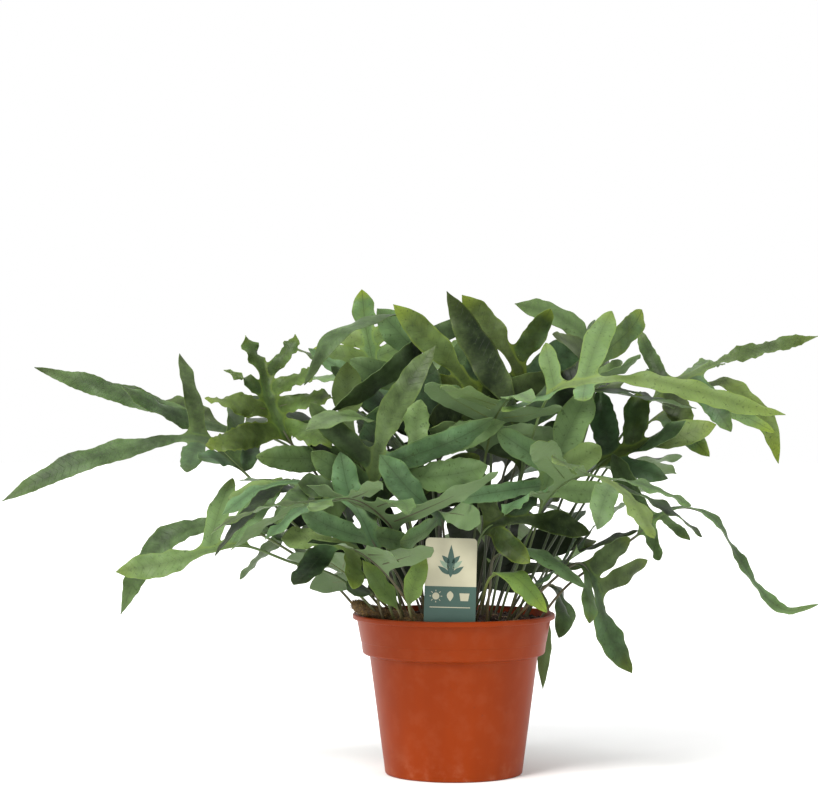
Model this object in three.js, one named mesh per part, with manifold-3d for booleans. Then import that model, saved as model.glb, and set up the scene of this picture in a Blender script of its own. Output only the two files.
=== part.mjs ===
// Potted blue star fern: a plastic nursery pot filled with potting soil, furry rhizomes that creep over
// the soil, lobed blue-green fronds on wiry stalks, and a plain plant label.
// Millimetres, +Z up. The origin is the centre of the pot's flat underside. -Y is the front.

import * as THREE from "three";
import { mergeVertices } from "three/addons/utils/BufferGeometryUtils.js";
import Module from "manifold-3d";

const wasm = await Module();
wasm.setup();

// Driving dimensions of the pot
const POT_HEIGHT = 150;
const RIM_RADIUS = 95;
const BASE_RADIUS = 64.3;
const WALL = 1.6;
const FLOOR = 2;
const STEP_HEIGHT = 111; // where the tapered wall meets the wider collar
const STEP_RADIUS = 79;
const COLLAR_HEIGHT = STEP_HEIGHT + 4; // where the collar's own wall begins
const COLLAR_FOOT_RADIUS = 85.6;
const COLLAR_TOP_RADIUS = 91;
const LIP_HEIGHT = POT_HEIGHT - 5; // where the rim's rolled lip begins
const POT_SIDES = 40;
const NOTCH = { count: 3, firstDegrees: -45, width: 41, topWidth: 29, height: 6.5, depth: 20 };

// Driving dimensions of what stands in the pot
const GAP = 0.4; // clearance between pieces that touch
const SOIL_EDGE_HEIGHT = 142;
const SOIL_MOUND = 6;
const FOOT_HEIGHT = SOIL_EDGE_HEIGHT - 8; // the stalks start this high, inside the soil
const LABEL = { width: 47, top: 225, shoulder: 138, point: 117, thickness: 0.9, x: -5.5, y: -79 };
const LABEL_CORNER = 4; // radius of the label's upper corners
const LABEL_SPIKE_HALF = 2.5; // half the width of the label's blunt point
const LABEL_LEAN_DEGREES = 4;
const LABEL_TILT_DEGREES = 1.5;

// Driving dimensions of the fronds
const STALK_HALF = 1.25; // half the width and thickness of a stalk
const NECK_HALF = 1; // half the thickness where a blade without side lobes leaves its stalk
const WING_HALF = 4; // half the width of the leafy wing that joins the lobes
const WING_START = 0.6; // the wing's width at the stalk, as a share of its full width
const WING_GROWTH = 30; // length over which the wing grows to its full width
const RIB_HALF = 0.63; // half the thickness of the wing
const BLADE_HALF = 0.45; // half the thickness of a lobe
const TIP_HALF = 1.3; // half the width of a lobe's tip
const BELLY = 0.35; // where a lobe reaches its full width, as a share of its length
const TAPER = 0.5; // where a lobe begins to narrow, as a share of its length
const LOBE_SWEEP = 0.12; // how far a lobe's middle line bulges outward, as a share of its length
const LOBE_BASE = 0.72; // a lobe's width at its root, as a share of its full width
const SCALLOP = 0.07; // how far a margin swings in and out, as a share of the width
const WAVE_PHASE = [-0.5, 0.5];
const PAIR_GAP = 3; // least stretch of bare wing between two pairs of lobes
const SEGMENT = 24; // length of a blade's segment
const STALK_SEGMENTS = 5;
const LEAST_SEGMENTS = { end: 4, side: 3 };
const CURVE_STEPS = 24; // samples between two points of a frond's path

// How fronds find room among their neighbours
const CLEARANCE = 0.9; // a frond counts as this much wider and thicker on each side
const SPINE_TRIES = 400;
const LOBE_TRIES = 40;
const SPINE_YAW = 14; // degrees that a listed frond may turn round its foot
const SPINE_RISE = 0.07; // how much taller or lower it may grow, as a share
const LOBE_STRAY = 24; // how far a lobe's tip may end from its listed place

const WELD = 1e-3; // corners closer than this are one
const UP = new THREE.Vector3(0, 0, 1);
const degrees = THREE.MathUtils.degToRad;
const vector = (xyz) => new THREE.Vector3(...xyz);

// A repeatable stream of random numbers for each set of whole numbers.
function randomFrom(...numbers) {
  let state = numbers.reduce((seed, value) => (seed * 1009 + value + 1) % 4294967296, 5);
  const draw = (low, high) => {
    state = (state * 1664525 + 1013904223) % 4294967296;
    return low + ((high - low) * state) / 4294967296;
  };
  for (let i = 0; i < 4; i += 1) draw(0, 1);
  return draw;
}

// Solids for joining and cutting

function solidOf(geometry) {
  const bare = new THREE.BufferGeometry().setAttribute(
    "position",
    (geometry.index ? geometry.toNonIndexed() : geometry).getAttribute("position"),
  );
  const merged = mergeVertices(bare, WELD);
  return new wasm.Manifold(
    new wasm.Mesh({
      numProp: 3,
      vertProperties: merged.attributes.position.array,
      triVerts: new Uint32Array(merged.index.array),
    }),
  );
}

function geometryOf(solid) {
  const mesh = solid.getMesh();
  const geometry = new THREE.BufferGeometry();
  geometry.setAttribute("position", new THREE.BufferAttribute(mesh.vertProperties, 3));
  geometry.setIndex(new THREE.BufferAttribute(mesh.triVerts, 1));
  return geometry;
}

// Pot

function turned(profile, sides) {
  const points = profile.map(([radius, height]) => new THREE.Vector2(radius, height));
  return new THREE.LatheGeometry(points, sides).rotateX(Math.PI / 2);
}

// Inside radius of the pot at a height, on its corners.
function insideRadius(height) {
  if (height < STEP_HEIGHT) {
    return BASE_RADIUS - WALL + ((STEP_RADIUS - BASE_RADIUS) * height) / STEP_HEIGHT;
  }
  const share = (height - COLLAR_HEIGHT) / (LIP_HEIGHT - COLLAR_HEIGHT);
  return COLLAR_FOOT_RADIUS - WALL + (COLLAR_TOP_RADIUS - COLLAR_FOOT_RADIUS) * share;
}

function potGeometry() {
  const profile = [
    [0, 0],
    [BASE_RADIUS - 1.5, 0],
    [BASE_RADIUS, 1.6],
    [STEP_RADIUS, STEP_HEIGHT],
    [COLLAR_FOOT_RADIUS - 0.8, COLLAR_HEIGHT - 1.5],
    [COLLAR_FOOT_RADIUS, COLLAR_HEIGHT + 0.5],
    [COLLAR_TOP_RADIUS, LIP_HEIGHT],
    [RIM_RADIUS - 0.8, LIP_HEIGHT + 0.3],
    [RIM_RADIUS, LIP_HEIGHT + 2],
    [RIM_RADIUS - 0.7, POT_HEIGHT - 0.6],
    [RIM_RADIUS - 2.4, POT_HEIGHT],
    [insideRadius(LIP_HEIGHT) + 0.6, LIP_HEIGHT + 2.5],
    [insideRadius(COLLAR_HEIGHT), COLLAR_HEIGHT],
    [insideRadius(STEP_HEIGHT - 1), STEP_HEIGHT - 1],
    [insideRadius(FLOOR), FLOOR],
    [0, FLOOR],
  ];
  const wall = solidOf(turned(profile, POT_SIDES));
  return geometryOf(drainNotches().reduce((pot, notch) => pot.subtract(notch), wall));
}

// Drain openings cut through the wall's lower edge, as trapezoids seen from outside.
function drainNotches() {
  const outline = new THREE.Shape();
  outline.moveTo(-NOTCH.width / 2, -1);
  outline.lineTo(NOTCH.width / 2, -1);
  outline.lineTo(NOTCH.topWidth / 2, NOTCH.height);
  outline.lineTo(-NOTCH.topWidth / 2, NOTCH.height);
  const notches = [];
  for (let i = 0; i < NOTCH.count; i += 1) {
    const block = new THREE.ExtrudeGeometry(outline, { depth: NOTCH.depth, bevelEnabled: false });
    block.rotateX(Math.PI / 2).translate(0, BASE_RADIUS + 4, 0).rotateZ(Math.PI);
    block.rotateZ(degrees(-NOTCH.firstDegrees + (i * 360) / NOTCH.count));
    notches.push(solidOf(block));
  }
  return notches;
}

// Soil

function soilHeight(x, y) {
  const share = Math.min(1, Math.hypot(x, y) / insideRadius(SOIL_EDGE_HEIGHT));
  const bumps = 1.1 * Math.sin(x * 0.13 + 1) * Math.cos(y * 0.11);
  return SOIL_EDGE_HEIGHT + SOIL_MOUND * (1 - share * share) + bumps * (1 - share);
}

function soilSolid() {
  const edge = (height) => insideRadius(height) - GAP;
  const bottom = FLOOR + GAP;
  const rings = [0.75, 0.45, 0].map((share) => [share * edge(SOIL_EDGE_HEIGHT), SOIL_EDGE_HEIGHT]);
  const profile = [
    [0, bottom],
    [edge(bottom), bottom],
    [edge(STEP_HEIGHT - 1), STEP_HEIGHT - 1],
    [edge(COLLAR_HEIGHT), COLLAR_HEIGHT + 0.5],
    [edge(SOIL_EDGE_HEIGHT), SOIL_EDGE_HEIGHT],
    ...rings,
  ];
  const geometry = turned(profile, POT_SIDES);
  const position = geometry.attributes.position;
  for (let i = 0; i < position.count; i += 1) {
    if (position.getZ(i) > SOIL_EDGE_HEIGHT - 0.5) {
      position.setZ(i, soilHeight(position.getX(i), position.getY(i)));
    }
  }
  return solidOf(geometry);
}

// Label

function labelGeometry(grow = 0) {
  const half = LABEL.width / 2 + grow;
  const spikeHalf = LABEL_SPIKE_HALF + grow;
  const outline = new THREE.Shape();
  outline.moveTo(-half, LABEL.shoulder);
  outline.lineTo(-spikeHalf, LABEL.point - grow);
  outline.lineTo(spikeHalf, LABEL.point - grow);
  outline.lineTo(half, LABEL.shoulder);
  outline.lineTo(half, LABEL.top - LABEL_CORNER);
  outline.quadraticCurveTo(half, LABEL.top, half - LABEL_CORNER, LABEL.top);
  outline.lineTo(LABEL_CORNER - half, LABEL.top);
  outline.quadraticCurveTo(-half, LABEL.top, -half, LABEL.top - LABEL_CORNER);
  const depth = LABEL.thickness + 2 * grow;
  const card = new THREE.ExtrudeGeometry(outline, { depth, bevelEnabled: false, curveSegments: 3 });
  card.translate(0, -LABEL.shoulder, -depth / 2).rotateX(Math.PI / 2);
  card.rotateX(degrees(-LABEL_LEAN_DEGREES)).rotateY(degrees(LABEL_TILT_DEGREES));
  return card.translate(LABEL.x, LABEL.y, LABEL.shoulder);
}

// Rhizomes

// Each creeps over the soil: points on its middle line, and its radius at the thick end.
const RHIZOMES = [
  {
    name: "rhizome_left",
    points: [[-34, -22, 145], [-58, -34, 149], [-78, -38, 155], [-95, -40, 163]],
    radius: 7.5,
  },
  {
    name: "rhizome_front",
    points: [[14, -64, 146], [-12, -58, 149], [-34, -64, 148], [-52, -60, 146]],
    radius: 6.5,
  },
];
const RHIZOME_SIDES = 7;
const RHIZOME_RINGS = 9;

// Radius along a rhizome: rounded ends, and knobs where old stalks stood.
function rhizomeRadius(rhizome, share) {
  const rounded = Math.sqrt(Math.max(0, 1 - Math.abs(2 * share - 1) ** 5));
  const knobs = 1 + 0.13 * Math.sin(share * 19 + rhizome.points[0][0]);
  return Math.max(0.16, rounded) * knobs * rhizome.radius * (1 - 0.2 * share);
}

function rhizomeSolid(rhizome, grow = 0) {
  const curve = new THREE.CatmullRomCurve3(rhizome.points.map(vector), false, "catmullrom", 0.5);
  const corners = [];
  for (let i = 0; i <= RHIZOME_RINGS; i += 1) {
    const share = i / RHIZOME_RINGS;
    const forward = curve.getTangent(share);
    const side = new THREE.Vector3().crossVectors(UP, forward).normalize();
    const up = new THREE.Vector3().crossVectors(forward, side);
    const radius = rhizomeRadius(rhizome, share) + grow;
    const end = i === 0 ? -grow : i === RHIZOME_RINGS ? grow : 0;
    const centre = curve.getPoint(share).addScaledVector(forward, end);
    for (let j = 0; j < RHIZOME_SIDES; j += 1) {
      const angle = (j * 2 * Math.PI) / RHIZOME_SIDES;
      const corner = centre.clone().addScaledVector(side, radius * Math.cos(angle));
      corners.push(corner.addScaledVector(up, radius * Math.sin(angle)));
    }
  }
  const faces = [];
  for (let i = 0; i < RHIZOME_RINGS; i += 1) {
    for (let j = 0; j < RHIZOME_SIDES; j += 1) {
      const next = (j + 1) % RHIZOME_SIDES;
      const [a, b] = [i * RHIZOME_SIDES + j, i * RHIZOME_SIDES + next];
      faces.push(a, b, b + RHIZOME_SIDES, a, b + RHIZOME_SIDES, a + RHIZOME_SIDES);
    }
  }
  const last = RHIZOME_RINGS * RHIZOME_SIDES;
  for (let j = 1; j < RHIZOME_SIDES - 1; j += 1) {
    faces.push(0, j + 1, j, last, last + j, last + j + 1);
  }
  return solidOf(meshOf(corners, faces));
}

function meshOf(corners, faces) {
  const geometry = new THREE.BufferGeometry().setFromPoints(corners);
  return geometry.setIndex(faces);
}

// Frond form

// The frame of a blade at a point: forward along it, left across it, and up out of its face.
function turnedFrame(forward, left, rollDegrees) {
  const flat = left.clone().addScaledVector(forward, -left.dot(forward)).normalize();
  flat.applyAxisAngle(forward, degrees(rollDegrees));
  return { forward, left: flat, up: new THREE.Vector3().crossVectors(forward, flat) };
}

function smooth(share) {
  const t = Math.min(1, Math.max(0, share));
  return t * t * (3 - 2 * t);
}

// Width of a lobe along its length, as a share of its full width: root, belly, then a drawn-out tip.
function lobeShape(share, root, sharpness) {
  const belly = root + (1 - root) * smooth(share / BELLY);
  const taper = share < TAPER ? 1 : 1 - ((share - TAPER) / (1 - TAPER)) ** sharpness;
  return belly * taper;
}

// A margin's wave along a lobe, from -1 to 1, fading out at both ends.
function waveAt(share, count, phase) {
  const fade = Math.sqrt(Math.max(0, Math.sin(Math.PI * share)));
  return fade * Math.cos(Math.PI * count * share + phase);
}

// One cross-section, kept as its two edges.
function section(centre, frame, halfWidth, halfThickness, lift = 0, swing = 0) {
  const edge = (side) =>
    centre
      .clone()
      .addScaledVector(frame.left, side * halfWidth * (1 + side * swing))
      .addScaledVector(frame.up, side * lift);
  return { left: edge(1), right: edge(-1), leftUp: frame.up, rightUp: frame.up, half: halfThickness };
}

// One cross-section of a lobe, at a share of its length, with its waved and scalloped margins.
function lobeSection(share, centre, frame, lobe) {
  const half = Math.max(TIP_HALF, (lobe.width / 2) * lobeShape(share, lobe.root, lobe.sharpness));
  const wave = waveAt(share, lobe.count, lobe.phase);
  return section(centre, frame, half, BLADE_HALF, lobe.wave * wave, SCALLOP * wave);
}

// The frond's middle line, from foot to tip, with the length at which the blade begins.
function frondLine(frond) {
  const curve = new THREE.CatmullRomCurve3(frond.path.map(vector), false, "catmullrom", 0.5);
  curve.arcLengthDivisions = (frond.path.length - 1) * CURVE_STEPS;
  const lengths = curve.getLengths();
  const total = lengths[lengths.length - 1];
  const knee = lengths[frond.knee * CURVE_STEPS];
  const heading = degrees(frond.heading);
  const across = new THREE.Vector3(-Math.sin(heading), Math.cos(heading), 0);
  const shareOf = (distance) => Math.min(1, Math.max(0, distance / total));
  const frame = (distance) => {
    const turn = smooth((distance - knee) / (total - knee));
    const roll = frond.roll[0] + (frond.roll[1] - frond.roll[0]) * turn;
    return turnedFrame(curve.getTangentAt(shareOf(distance)), across, roll);
  };
  const point = (distance) => curve.getPointAt(shareOf(distance));
  return { total, knee, frame, point };
}

// The cross-sections of a frond's spine: its stalk, then the rib with its wing, then the end lobe. Each
// station on the rib is a stretch of wing that a pair of side lobes grows from.
function frondSpine(frond) {
  const line = frondLine(frond);
  const blade = line.total - line.knee;
  const spine = [];
  for (let i = 0; i < STALK_SEGMENTS; i += 1) {
    const distance = (line.knee * i) / STALK_SEGMENTS;
    spine.push(section(line.point(distance), line.frame(distance), STALK_HALF, STALK_HALF));
  }
  let reach = line.knee;
  const stations = frond.stations.map(({ at, width, lobes, isDrawn }) => {
    const base = width * LOBE_BASE;
    const middle = Math.max(line.knee + at * blade, reach + base / 2 + PAIR_GAP);
    const [rear, front] = [middle - base / 2, middle + base / 2].map((distance) => {
      const growth = WING_START + (1 - WING_START) * smooth((distance - line.knee) / WING_GROWTH);
      return section(line.point(distance), line.frame(distance), WING_HALF * growth, RIB_HALF);
    });
    spine.push(rear, front);
    reach = middle + base / 2;
    return { rear, front, lobes, isDrawn, frame: line.frame(middle), ring: spine.length - 2 };
  });
  const isWhole = stations.length === 0;
  if (isWhole) {
    spine.push(section(line.point(line.knee), line.frame(line.knee), STALK_HALF, NECK_HALF));
  }
  const rest = line.total - reach;
  const count = Math.max(LEAST_SEGMENTS.end, Math.round(rest / SEGMENT));
  const root = (isWhole ? STALK_HALF : WING_HALF) / (frond.width / 2);
  const end = { ...frond, count, root };
  for (let i = 1; i <= count; i += 1) {
    const share = i / count;
    const distance = reach + rest * share;
    spine.push(lobeSection(share, line.point(distance), line.frame(distance), end));
  }
  return { spine, stations };
}

// The cross-sections of a side lobe. Its first one is the stretch of wing that it grows from.
function lobeSections(lobe, { rear, front, frame, ring }) {
  const edge = lobe.side > 0 ? "left" : "right";
  const start = rear[edge].clone().lerp(front[edge], 0.5);
  const tip = lobe.tip ? vector(lobe.tip) : lobeTip(lobe, start, frame);
  const length = tip.distanceTo(start);
  const bulge = start.clone().lerp(tip, 0.5).addScaledVector(frame.up, lobe.bow * length);
  bulge.addScaledVector(frame.left, LOBE_SWEEP * lobe.side * length);
  const curve = new THREE.QuadraticBezierCurve3(start, bulge, tip);
  const count = Math.max(LEAST_SEGMENTS.side, Math.round(length / SEGMENT));
  const form = { ...lobe, count, root: LOBE_BASE };
  const sections = [];
  for (let i = 1; i <= count; i += 1) {
    const share = i / count;
    const forward = curve.getTangent(share);
    const across = new THREE.Vector3().crossVectors(frame.up, forward);
    const local = turnedFrame(forward, across, lobe.twist * share);
    sections.push(lobeSection(share, curve.getPoint(share), local, form));
  }
  return { root: rootSection(rear, front, lobe.side), sections, ring };
}

// The stretch of wing that a lobe grows from, as the lobe's first cross-section.
function rootSection(rear, front, side) {
  const [from, to] = side > 0 ? [rear, front] : [front, rear];
  const edge = side > 0 ? "left" : "right";
  const upEdge = `${edge}Up`;
  return { left: from[edge], right: to[edge], leftUp: from[upEdge], rightUp: to[upEdge], half: rear.half };
}

// Where a lobe ends that is given by its angle to the rib, its lift off the blade and its droop.
function lobeTip(lobe, root, frame) {
  const angle = degrees(lobe.angle);
  return root
    .clone()
    .addScaledVector(frame.forward, Math.cos(angle) * lobe.length)
    .addScaledVector(frame.left, lobe.side * Math.sin(angle) * lobe.length)
    .addScaledVector(frame.up, lobe.lift * lobe.length)
    .addScaledVector(UP, -lobe.droop * lobe.length);
}

// Frond solid

// The four corners of a cross-section: top left, top right, bottom left, bottom right.
function cornersOf(cut, grow = 0) {
  const wide = cut.left.clone().sub(cut.right).normalize().multiplyScalar(grow);
  const half = cut.half + grow;
  const [left, right] = [cut.left.clone().add(wide), cut.right.clone().sub(wide)];
  return [
    left.clone().addScaledVector(cut.leftUp, half),
    right.clone().addScaledVector(cut.rightUp, half),
    left.clone().addScaledVector(cut.leftUp, -half),
    right.clone().addScaledVector(cut.rightUp, -half),
  ];
}

// Skins the stretch between two cross-sections. A wall is left out where a lobe grows from it.
function skin(faces, a, b, openLeft = false, openRight = false) {
  const quad = (p, q, r, s) => faces.push(p, q, r, p, r, s);
  quad(a[1], b[1], b[0], a[0]);
  faces.push(a[3], b[2], b[3], a[3], a[2], b[2]);
  if (!openLeft) quad(a[0], b[0], b[2], a[2]);
  if (!openRight) quad(b[1], a[1], a[3], b[3]);
}

function cap(faces, a, isStart) {
  if (isStart) faces.push(a[0], a[3], a[1], a[0], a[2], a[3]);
  else faces.push(a[0], a[1], a[3], a[0], a[3], a[2]);
}

function frondGeometry({ spine, lobes }) {
  const corners = [];
  const faces = [];
  const add = (cut) => cornersOf(cut).map((corner) => corners.push(corner) - 1);
  const rings = spine.map(add);
  const isOpen = (i, side) => lobes.some((lobe) => lobe.ring === i && lobe.side === side);
  cap(faces, rings[0], true);
  for (let i = 0; i < rings.length - 1; i += 1) {
    skin(faces, rings[i], rings[i + 1], isOpen(i, 1), isOpen(i, -1));
  }
  cap(faces, rings[rings.length - 1], false);
  lobes.forEach((lobe) => {
    const [rear, front] = [rings[lobe.ring], rings[lobe.ring + 1]];
    let last = [front[1], rear[1], front[3], rear[3]];
    if (lobe.side > 0) last = [rear[0], front[0], rear[2], front[2]];
    lobe.sections.forEach((cut) => {
      const ring = add(cut);
      skin(faces, last, ring);
      last = ring;
    });
    cap(faces, last, false);
  });
  return meshOf(corners, faces);
}

// A closed strip through some cross-sections, grown on all sides.
function stripSolid(cuts, grow) {
  const corners = [];
  const faces = [];
  const rings = cuts.map((cut) => cornersOf(cut, grow).map((corner) => corners.push(corner) - 1));
  cap(faces, rings[0], true);
  for (let i = 0; i < rings.length - 1; i += 1) skin(faces, rings[i], rings[i + 1]);
  cap(faces, rings[rings.length - 1], false);
  return solidOf(meshOf(corners, faces));
}

// Frond list

// Fronds placed one by one. path runs from the foot to the tip, and knee is the point where the blade
// begins. heading is the way that the blade points, in degrees from +X. roll turns the blade's face
// round its rib, at the knee and at the tip. A station is [place on the blade, lobe, lobe], and a lobe is
// [side, [tip], width, bow, twist], with side 1 left of the rib and -1 right of it. more adds pairs of
// lobes by rule. A young frond is yellower.
const PLACED = [
  {
    name: "frond_left_long",
    path: [
      [-48, -20], [-100, -22, 192], [-157, -20, 242], [-201, -8, 287],
      [-240, 0, 314], [-312, -15, 303], [-367, -20, 285], [-421, -20, 256],
    ],
    knee: 3,
    heading: 180,
    width: 24,
    roll: [-35, -65],
    wave: 1.5,
    lobes: [
      [0.05, [1, [-236, -50, 297], 20, 0.1, 15], [-1, [-214, 62, 350], 22, 0.1, 20]],
      [0.2, [1, [-246, -54, 284], 22, 0.1, 20], [-1, [-262, 52, 394], 18, 0.05, 40]],
    ],
  },
  {
    name: "frond_left_upper",
    path: [
      [-30, 12], [-75, 24, 215], [-130, 40, 285], [-182, 52, 317],
      [-224, 54, 322], [-262, 60, 338], [-316, 68, 355], [-405, 80, 381],
    ],
    knee: 3,
    heading: 180,
    width: 21,
    roll: [-48, -68],
    wave: 2.5,
    lobes: [
      [0.02, [1, [-196, 8, 283], 22, 0.1, 20], [-1, [-190, 118, 330], 22, 0.1, -20]],
      [0.22, [1, [-315, 20, 364], 23, 0.08, 25], [-1, [-290, 118, 345], 20, 0.1, -20]],
    ],
  },
  {
    name: "frond_left_low",
    path: [
      [-54, -38], [-104, -50, 185], [-151, -58, 202], [-191, -65, 217],
      [-219, -68, 214], [-260, -72, 203], [-309, -75, 194],
    ],
    knee: 3,
    heading: 180,
    width: 27,
    roll: [-25, -65],
    wave: 1,
    lobes: [
      [0.02, [-1, [-160, -20, 278], 27, 0.05, 10]],
      [0.2, [-1, [-207, -8, 277], 22, 0.05, -10]],
    ],
  },
  {
    name: "frond_right_top",
    path: [
      [45, 22], [95, 34, 215], [150, 44, 300], [196, 50, 355], [250, 54, 384],
      [294, 60, 398], [352, 64, 411],
    ],
    knee: 3,
    heading: 0,
    width: 16,
    roll: [20, 65],
    wave: 3,
    lobes: [
      [0.02, [1, [182, 92, 417], 14, 0.05, 20], [-1, [222, 8, 318], 24, 0.1, 0]],
      [0.22, [1, [268, 112, 384], 20, 0.1, 10], [-1, [262, 12, 320], 22, 0.1, 10]],
    ],
  },
  {
    name: "frond_right_front",
    path: [
      [30, -38], [46, -58, 220], [66, -72, 300], [84, -76, 352],
      [112, -80, 366], [168, -84, 370], [222, -80, 358], [262, -74, 346],
      [302, -66, 337],
    ],
    knee: 3,
    heading: 0,
    width: 23,
    roll: [30, 60],
    wave: 1.5,
    lobes: [
      [0.01, [1, [84, -42, 403], 18, 0.05, 10], [-1, [40, -132, 341], 22, 0.12, 0]],
      [0.17, [1, [147, -18, 433], 25, 0.05, 20], [-1, [112, -136, 350], 19, 0.1, 0]],
    ],
  },
  {
    name: "frond_right_droop",
    path: [
      [58, 32], [105, 56, 215], [155, 80, 290], [195, 94, 330],
      [236, 102, 358], [268, 104, 366], [296, 104, 344], [312, 102, 318], [319, 100, 287],
    ],
    knee: 3,
    heading: 0,
    width: 22,
    roll: [0, 80],
    wave: 1,
    lobes: [
      [0.02, [1, [236, 178, 328], 20, 0.12, 10], [-1, [244, 34, 296], 22, 0.12, 10]],
      [0.24, [1, [296, 176, 346], 18, 0.12, 0], [-1, [310, 62, 318], 18, 0.1, 30]],
    ],
  },
  {
    name: "frond_right_ribbon",
    path: [
      [70, -30], [102, -36, 176], [140, -40, 205], [172, -42, 228],
      [186, -46, 244], [212, -50, 252], [238, -56, 241], [255, -62, 214],
      [279, -64, 177], [303, -62, 158], [334, -58, 163],
    ],
    knee: 3,
    heading: 0,
    width: 15,
    roll: [10, 40],
    wave: 2,
    sharpness: 4,
    lobes: [
      [0.01, [1, [148, -14, 300], 23, 0.03, 10], [-1, [186, -80, 205], 15, 0.1, 0]],
      [0.1, [-1, [212, -92, 224], 9, 0.1, 0]],
    ],
  },
  {
    name: "frond_right_hang",
    path: [
      [44, -42], [76, -60, 172], [102, -64, 196], [117, -58, 200],
      [128, -54, 181], [139, -48, 142], [164, -42, 98],
    ],
    knee: 3,
    heading: 0,
    width: 28,
    roll: [30, 60],
    wave: 1.5,
    lobes: [
      [0.04, [1, [155, -36, 229], 22, 0.06, 0], [-1, [120, -104, 150], 18, 0.1, 20]],
      [0.12, [1, [180, -22, 201], 18, 0.1, 20]],
    ],
  },
  {
    name: "frond_rim_right",
    path: [[62, 22], [82, 36, 168], [97, 42, 172], [106, 46, 155], [110, 48, 128]],
    knee: 2,
    heading: 0,
    width: 20,
    roll: [35, 80],
    wave: 1,
    lobes: [[0.02, [1, [104, 84, 146], 16, 0.12, 0], [-1, [99, 6, 126], 17, 0.3, 50]]],
  },
  {
    name: "frond_back_hang",
    path: [[50, 48], [68, 80, 172], [80, 100, 176], [88, 107, 150], [90, 107, 110], [89, 103, 66]],
    knee: 2,
    heading: 50,
    width: 15,
    roll: [0, -40],
    wave: 0.8,
    lobes: [],
  },
  {
    name: "frond_front_drape",
    isYoung: true,
    path: [
      [16, -46], [25, -64, 168], [32, -86, 190], [46, -102, 195],
      [62, -107, 184], [82, -108, 160],
    ],
    knee: 2,
    heading: -60,
    width: 22,
    roll: [0, 10],
    wave: 1.5,
    lobes: [],
  },
  {
    name: "frond_front_right",
    path: [[28, -54], [32, -68, 180], [36, -80, 208], [60, -88, 216], [90, -90, 203], [119, -88, 180]],
    knee: 2,
    heading: -30,
    width: 19,
    roll: [0, 30],
    wave: 1.5,
    lobes: [],
  },
  {
    name: "frond_trident",
    path: [
      [46, -28], [62, -46, 190], [74, -64, 235], [80, -76, 262],
      [88, -80, 288], [105, -72, 325], [124, -52, 360],
    ],
    knee: 3,
    heading: 90,
    width: 30,
    roll: [0, 10],
    wave: 1,
    sharpness: 3,
    lobes: [
      [0.01, [1, [0, -122, 262], 16, 0.1, 0], [-1, [142, -102, 268], 21, 0.08, 0]],
      [0.2, [1, [38, -100, 323], 22, 0.05, 0], [-1, [131, -92, 309], 24, 0.05, 0]],
    ],
  },
  {
    name: "frond_crisp_middle",
    path: [
      [-24, -34], [-36, -54, 215], [-47, -82, 272], [-34, -98, 298],
      [0, -106, 316], [44, -104, 331],
    ],
    knee: 2,
    more: 1,
    heading: 0,
    width: 25,
    roll: [60, 70],
    wave: 3.5,
    lobes: [[0.02, [-1, [38, -122, 282], 28, 0.05, 0]]],
  },
  {
    name: "frond_center_dark",
    path: [[-18, -26], [-28, -44, 205], [-33, -56, 262], [-31, -60, 320], [-26, -52, 392]],
    knee: 2,
    more: 1,
    heading: 90,
    width: 32,
    roll: [0, 5],
    wave: 1,
    sharpness: 3,
    lobes: [[0.02, [1, [-92, -30, 312], 24, 0.08, 0], [-1, [22, -70, 300], 24, 0.1, 0]]],
  },
  {
    name: "frond_center_strap",
    path: [
      [-44, -40], [-58, -62, 200], [-73, -80, 262], [-66, -90, 318],
      [-44, -92, 362], [-18, -84, 400],
    ],
    knee: 2,
    more: 1,
    heading: 90,
    width: 25,
    roll: [0, -15],
    wave: 1.2,
    lobes: [[0.02, [1, [-130, -98, 304], 24, 0.08, 0]]],
  },
  {
    name: "frond_top_dark",
    path: [[10, -20], [44, -38, 215], [62, -50, 290], [54, -52, 340], [22, -42, 398], [-7, -28, 451]],
    knee: 2,
    more: 1,
    heading: 90,
    width: 29,
    roll: [0, 10],
    wave: 1,
    lobes: [[0.02, [1, [8, -66, 330], 24, 0.1, 0], [-1, [118, -42, 324], 24, 0.1, 0]]],
  },
  {
    name: "frond_top_crisp",
    path: [[24, 8], [50, 12, 220], [66, 12, 300], [70, 10, 350], [50, 10, 396], [8, 12, 449]],
    knee: 3,
    more: 1,
    heading: 90,
    width: 26,
    roll: [0, 10],
    wave: 2,
    lobes: [[0.02, [1, [0, 28, 372], 24, 0.1, 0], [-1, [118, 34, 404], 34, 0.3, 0]]],
  },
  {
    name: "frond_top_arch_left",
    path: [
      [-28, 2], [-32, -4, 230], [-30, -10, 330], [-26, -14, 396],
      [-42, -16, 428], [-80, -22, 424], [-114, -30, 406], [-139, -34, 364],
    ],
    knee: 3,
    more: 1,
    heading: 180,
    width: 23,
    roll: [0, -50],
    wave: 2,
    lobes: [[0.06, [1, [-115, -74, 339], 25, 0.25, 0], [-1, [30, 36, 429], 18, 0.1, 0]]],
  },
  {
    name: "frond_top_yellow",
    path: [[-24, 36], [-44, 56, 230], [-66, 74, 320], [-76, 84, 380], [-84, 90, 420], [-88, 92, 457]],
    knee: 3,
    more: 1,
    heading: 90,
    width: 22,
    roll: [0, 0],
    wave: 1,
    lobes: [[0.02, [1, [-136, 82, 398], 20, 0.1, 0], [-1, [-24, 92, 412], 20, 0.1, 0]]],
  },
  {
    name: "frond_top_right_arch",
    path: [
      [54, -6], [92, 6, 230], [122, 14, 310], [133, 20, 358], [130, 22, 400],
      [102, 22, 428], [58, 20, 441],
    ],
    knee: 3,
    more: 1,
    heading: 180,
    width: 26,
    roll: [-30, -60],
    wave: 1.5,
    lobes: [[0.02, [1, [156, -28, 384], 22, 0.1, 0], [-1, [150, 84, 392], 22, 0.1, 0]]],
  },
  {
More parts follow.
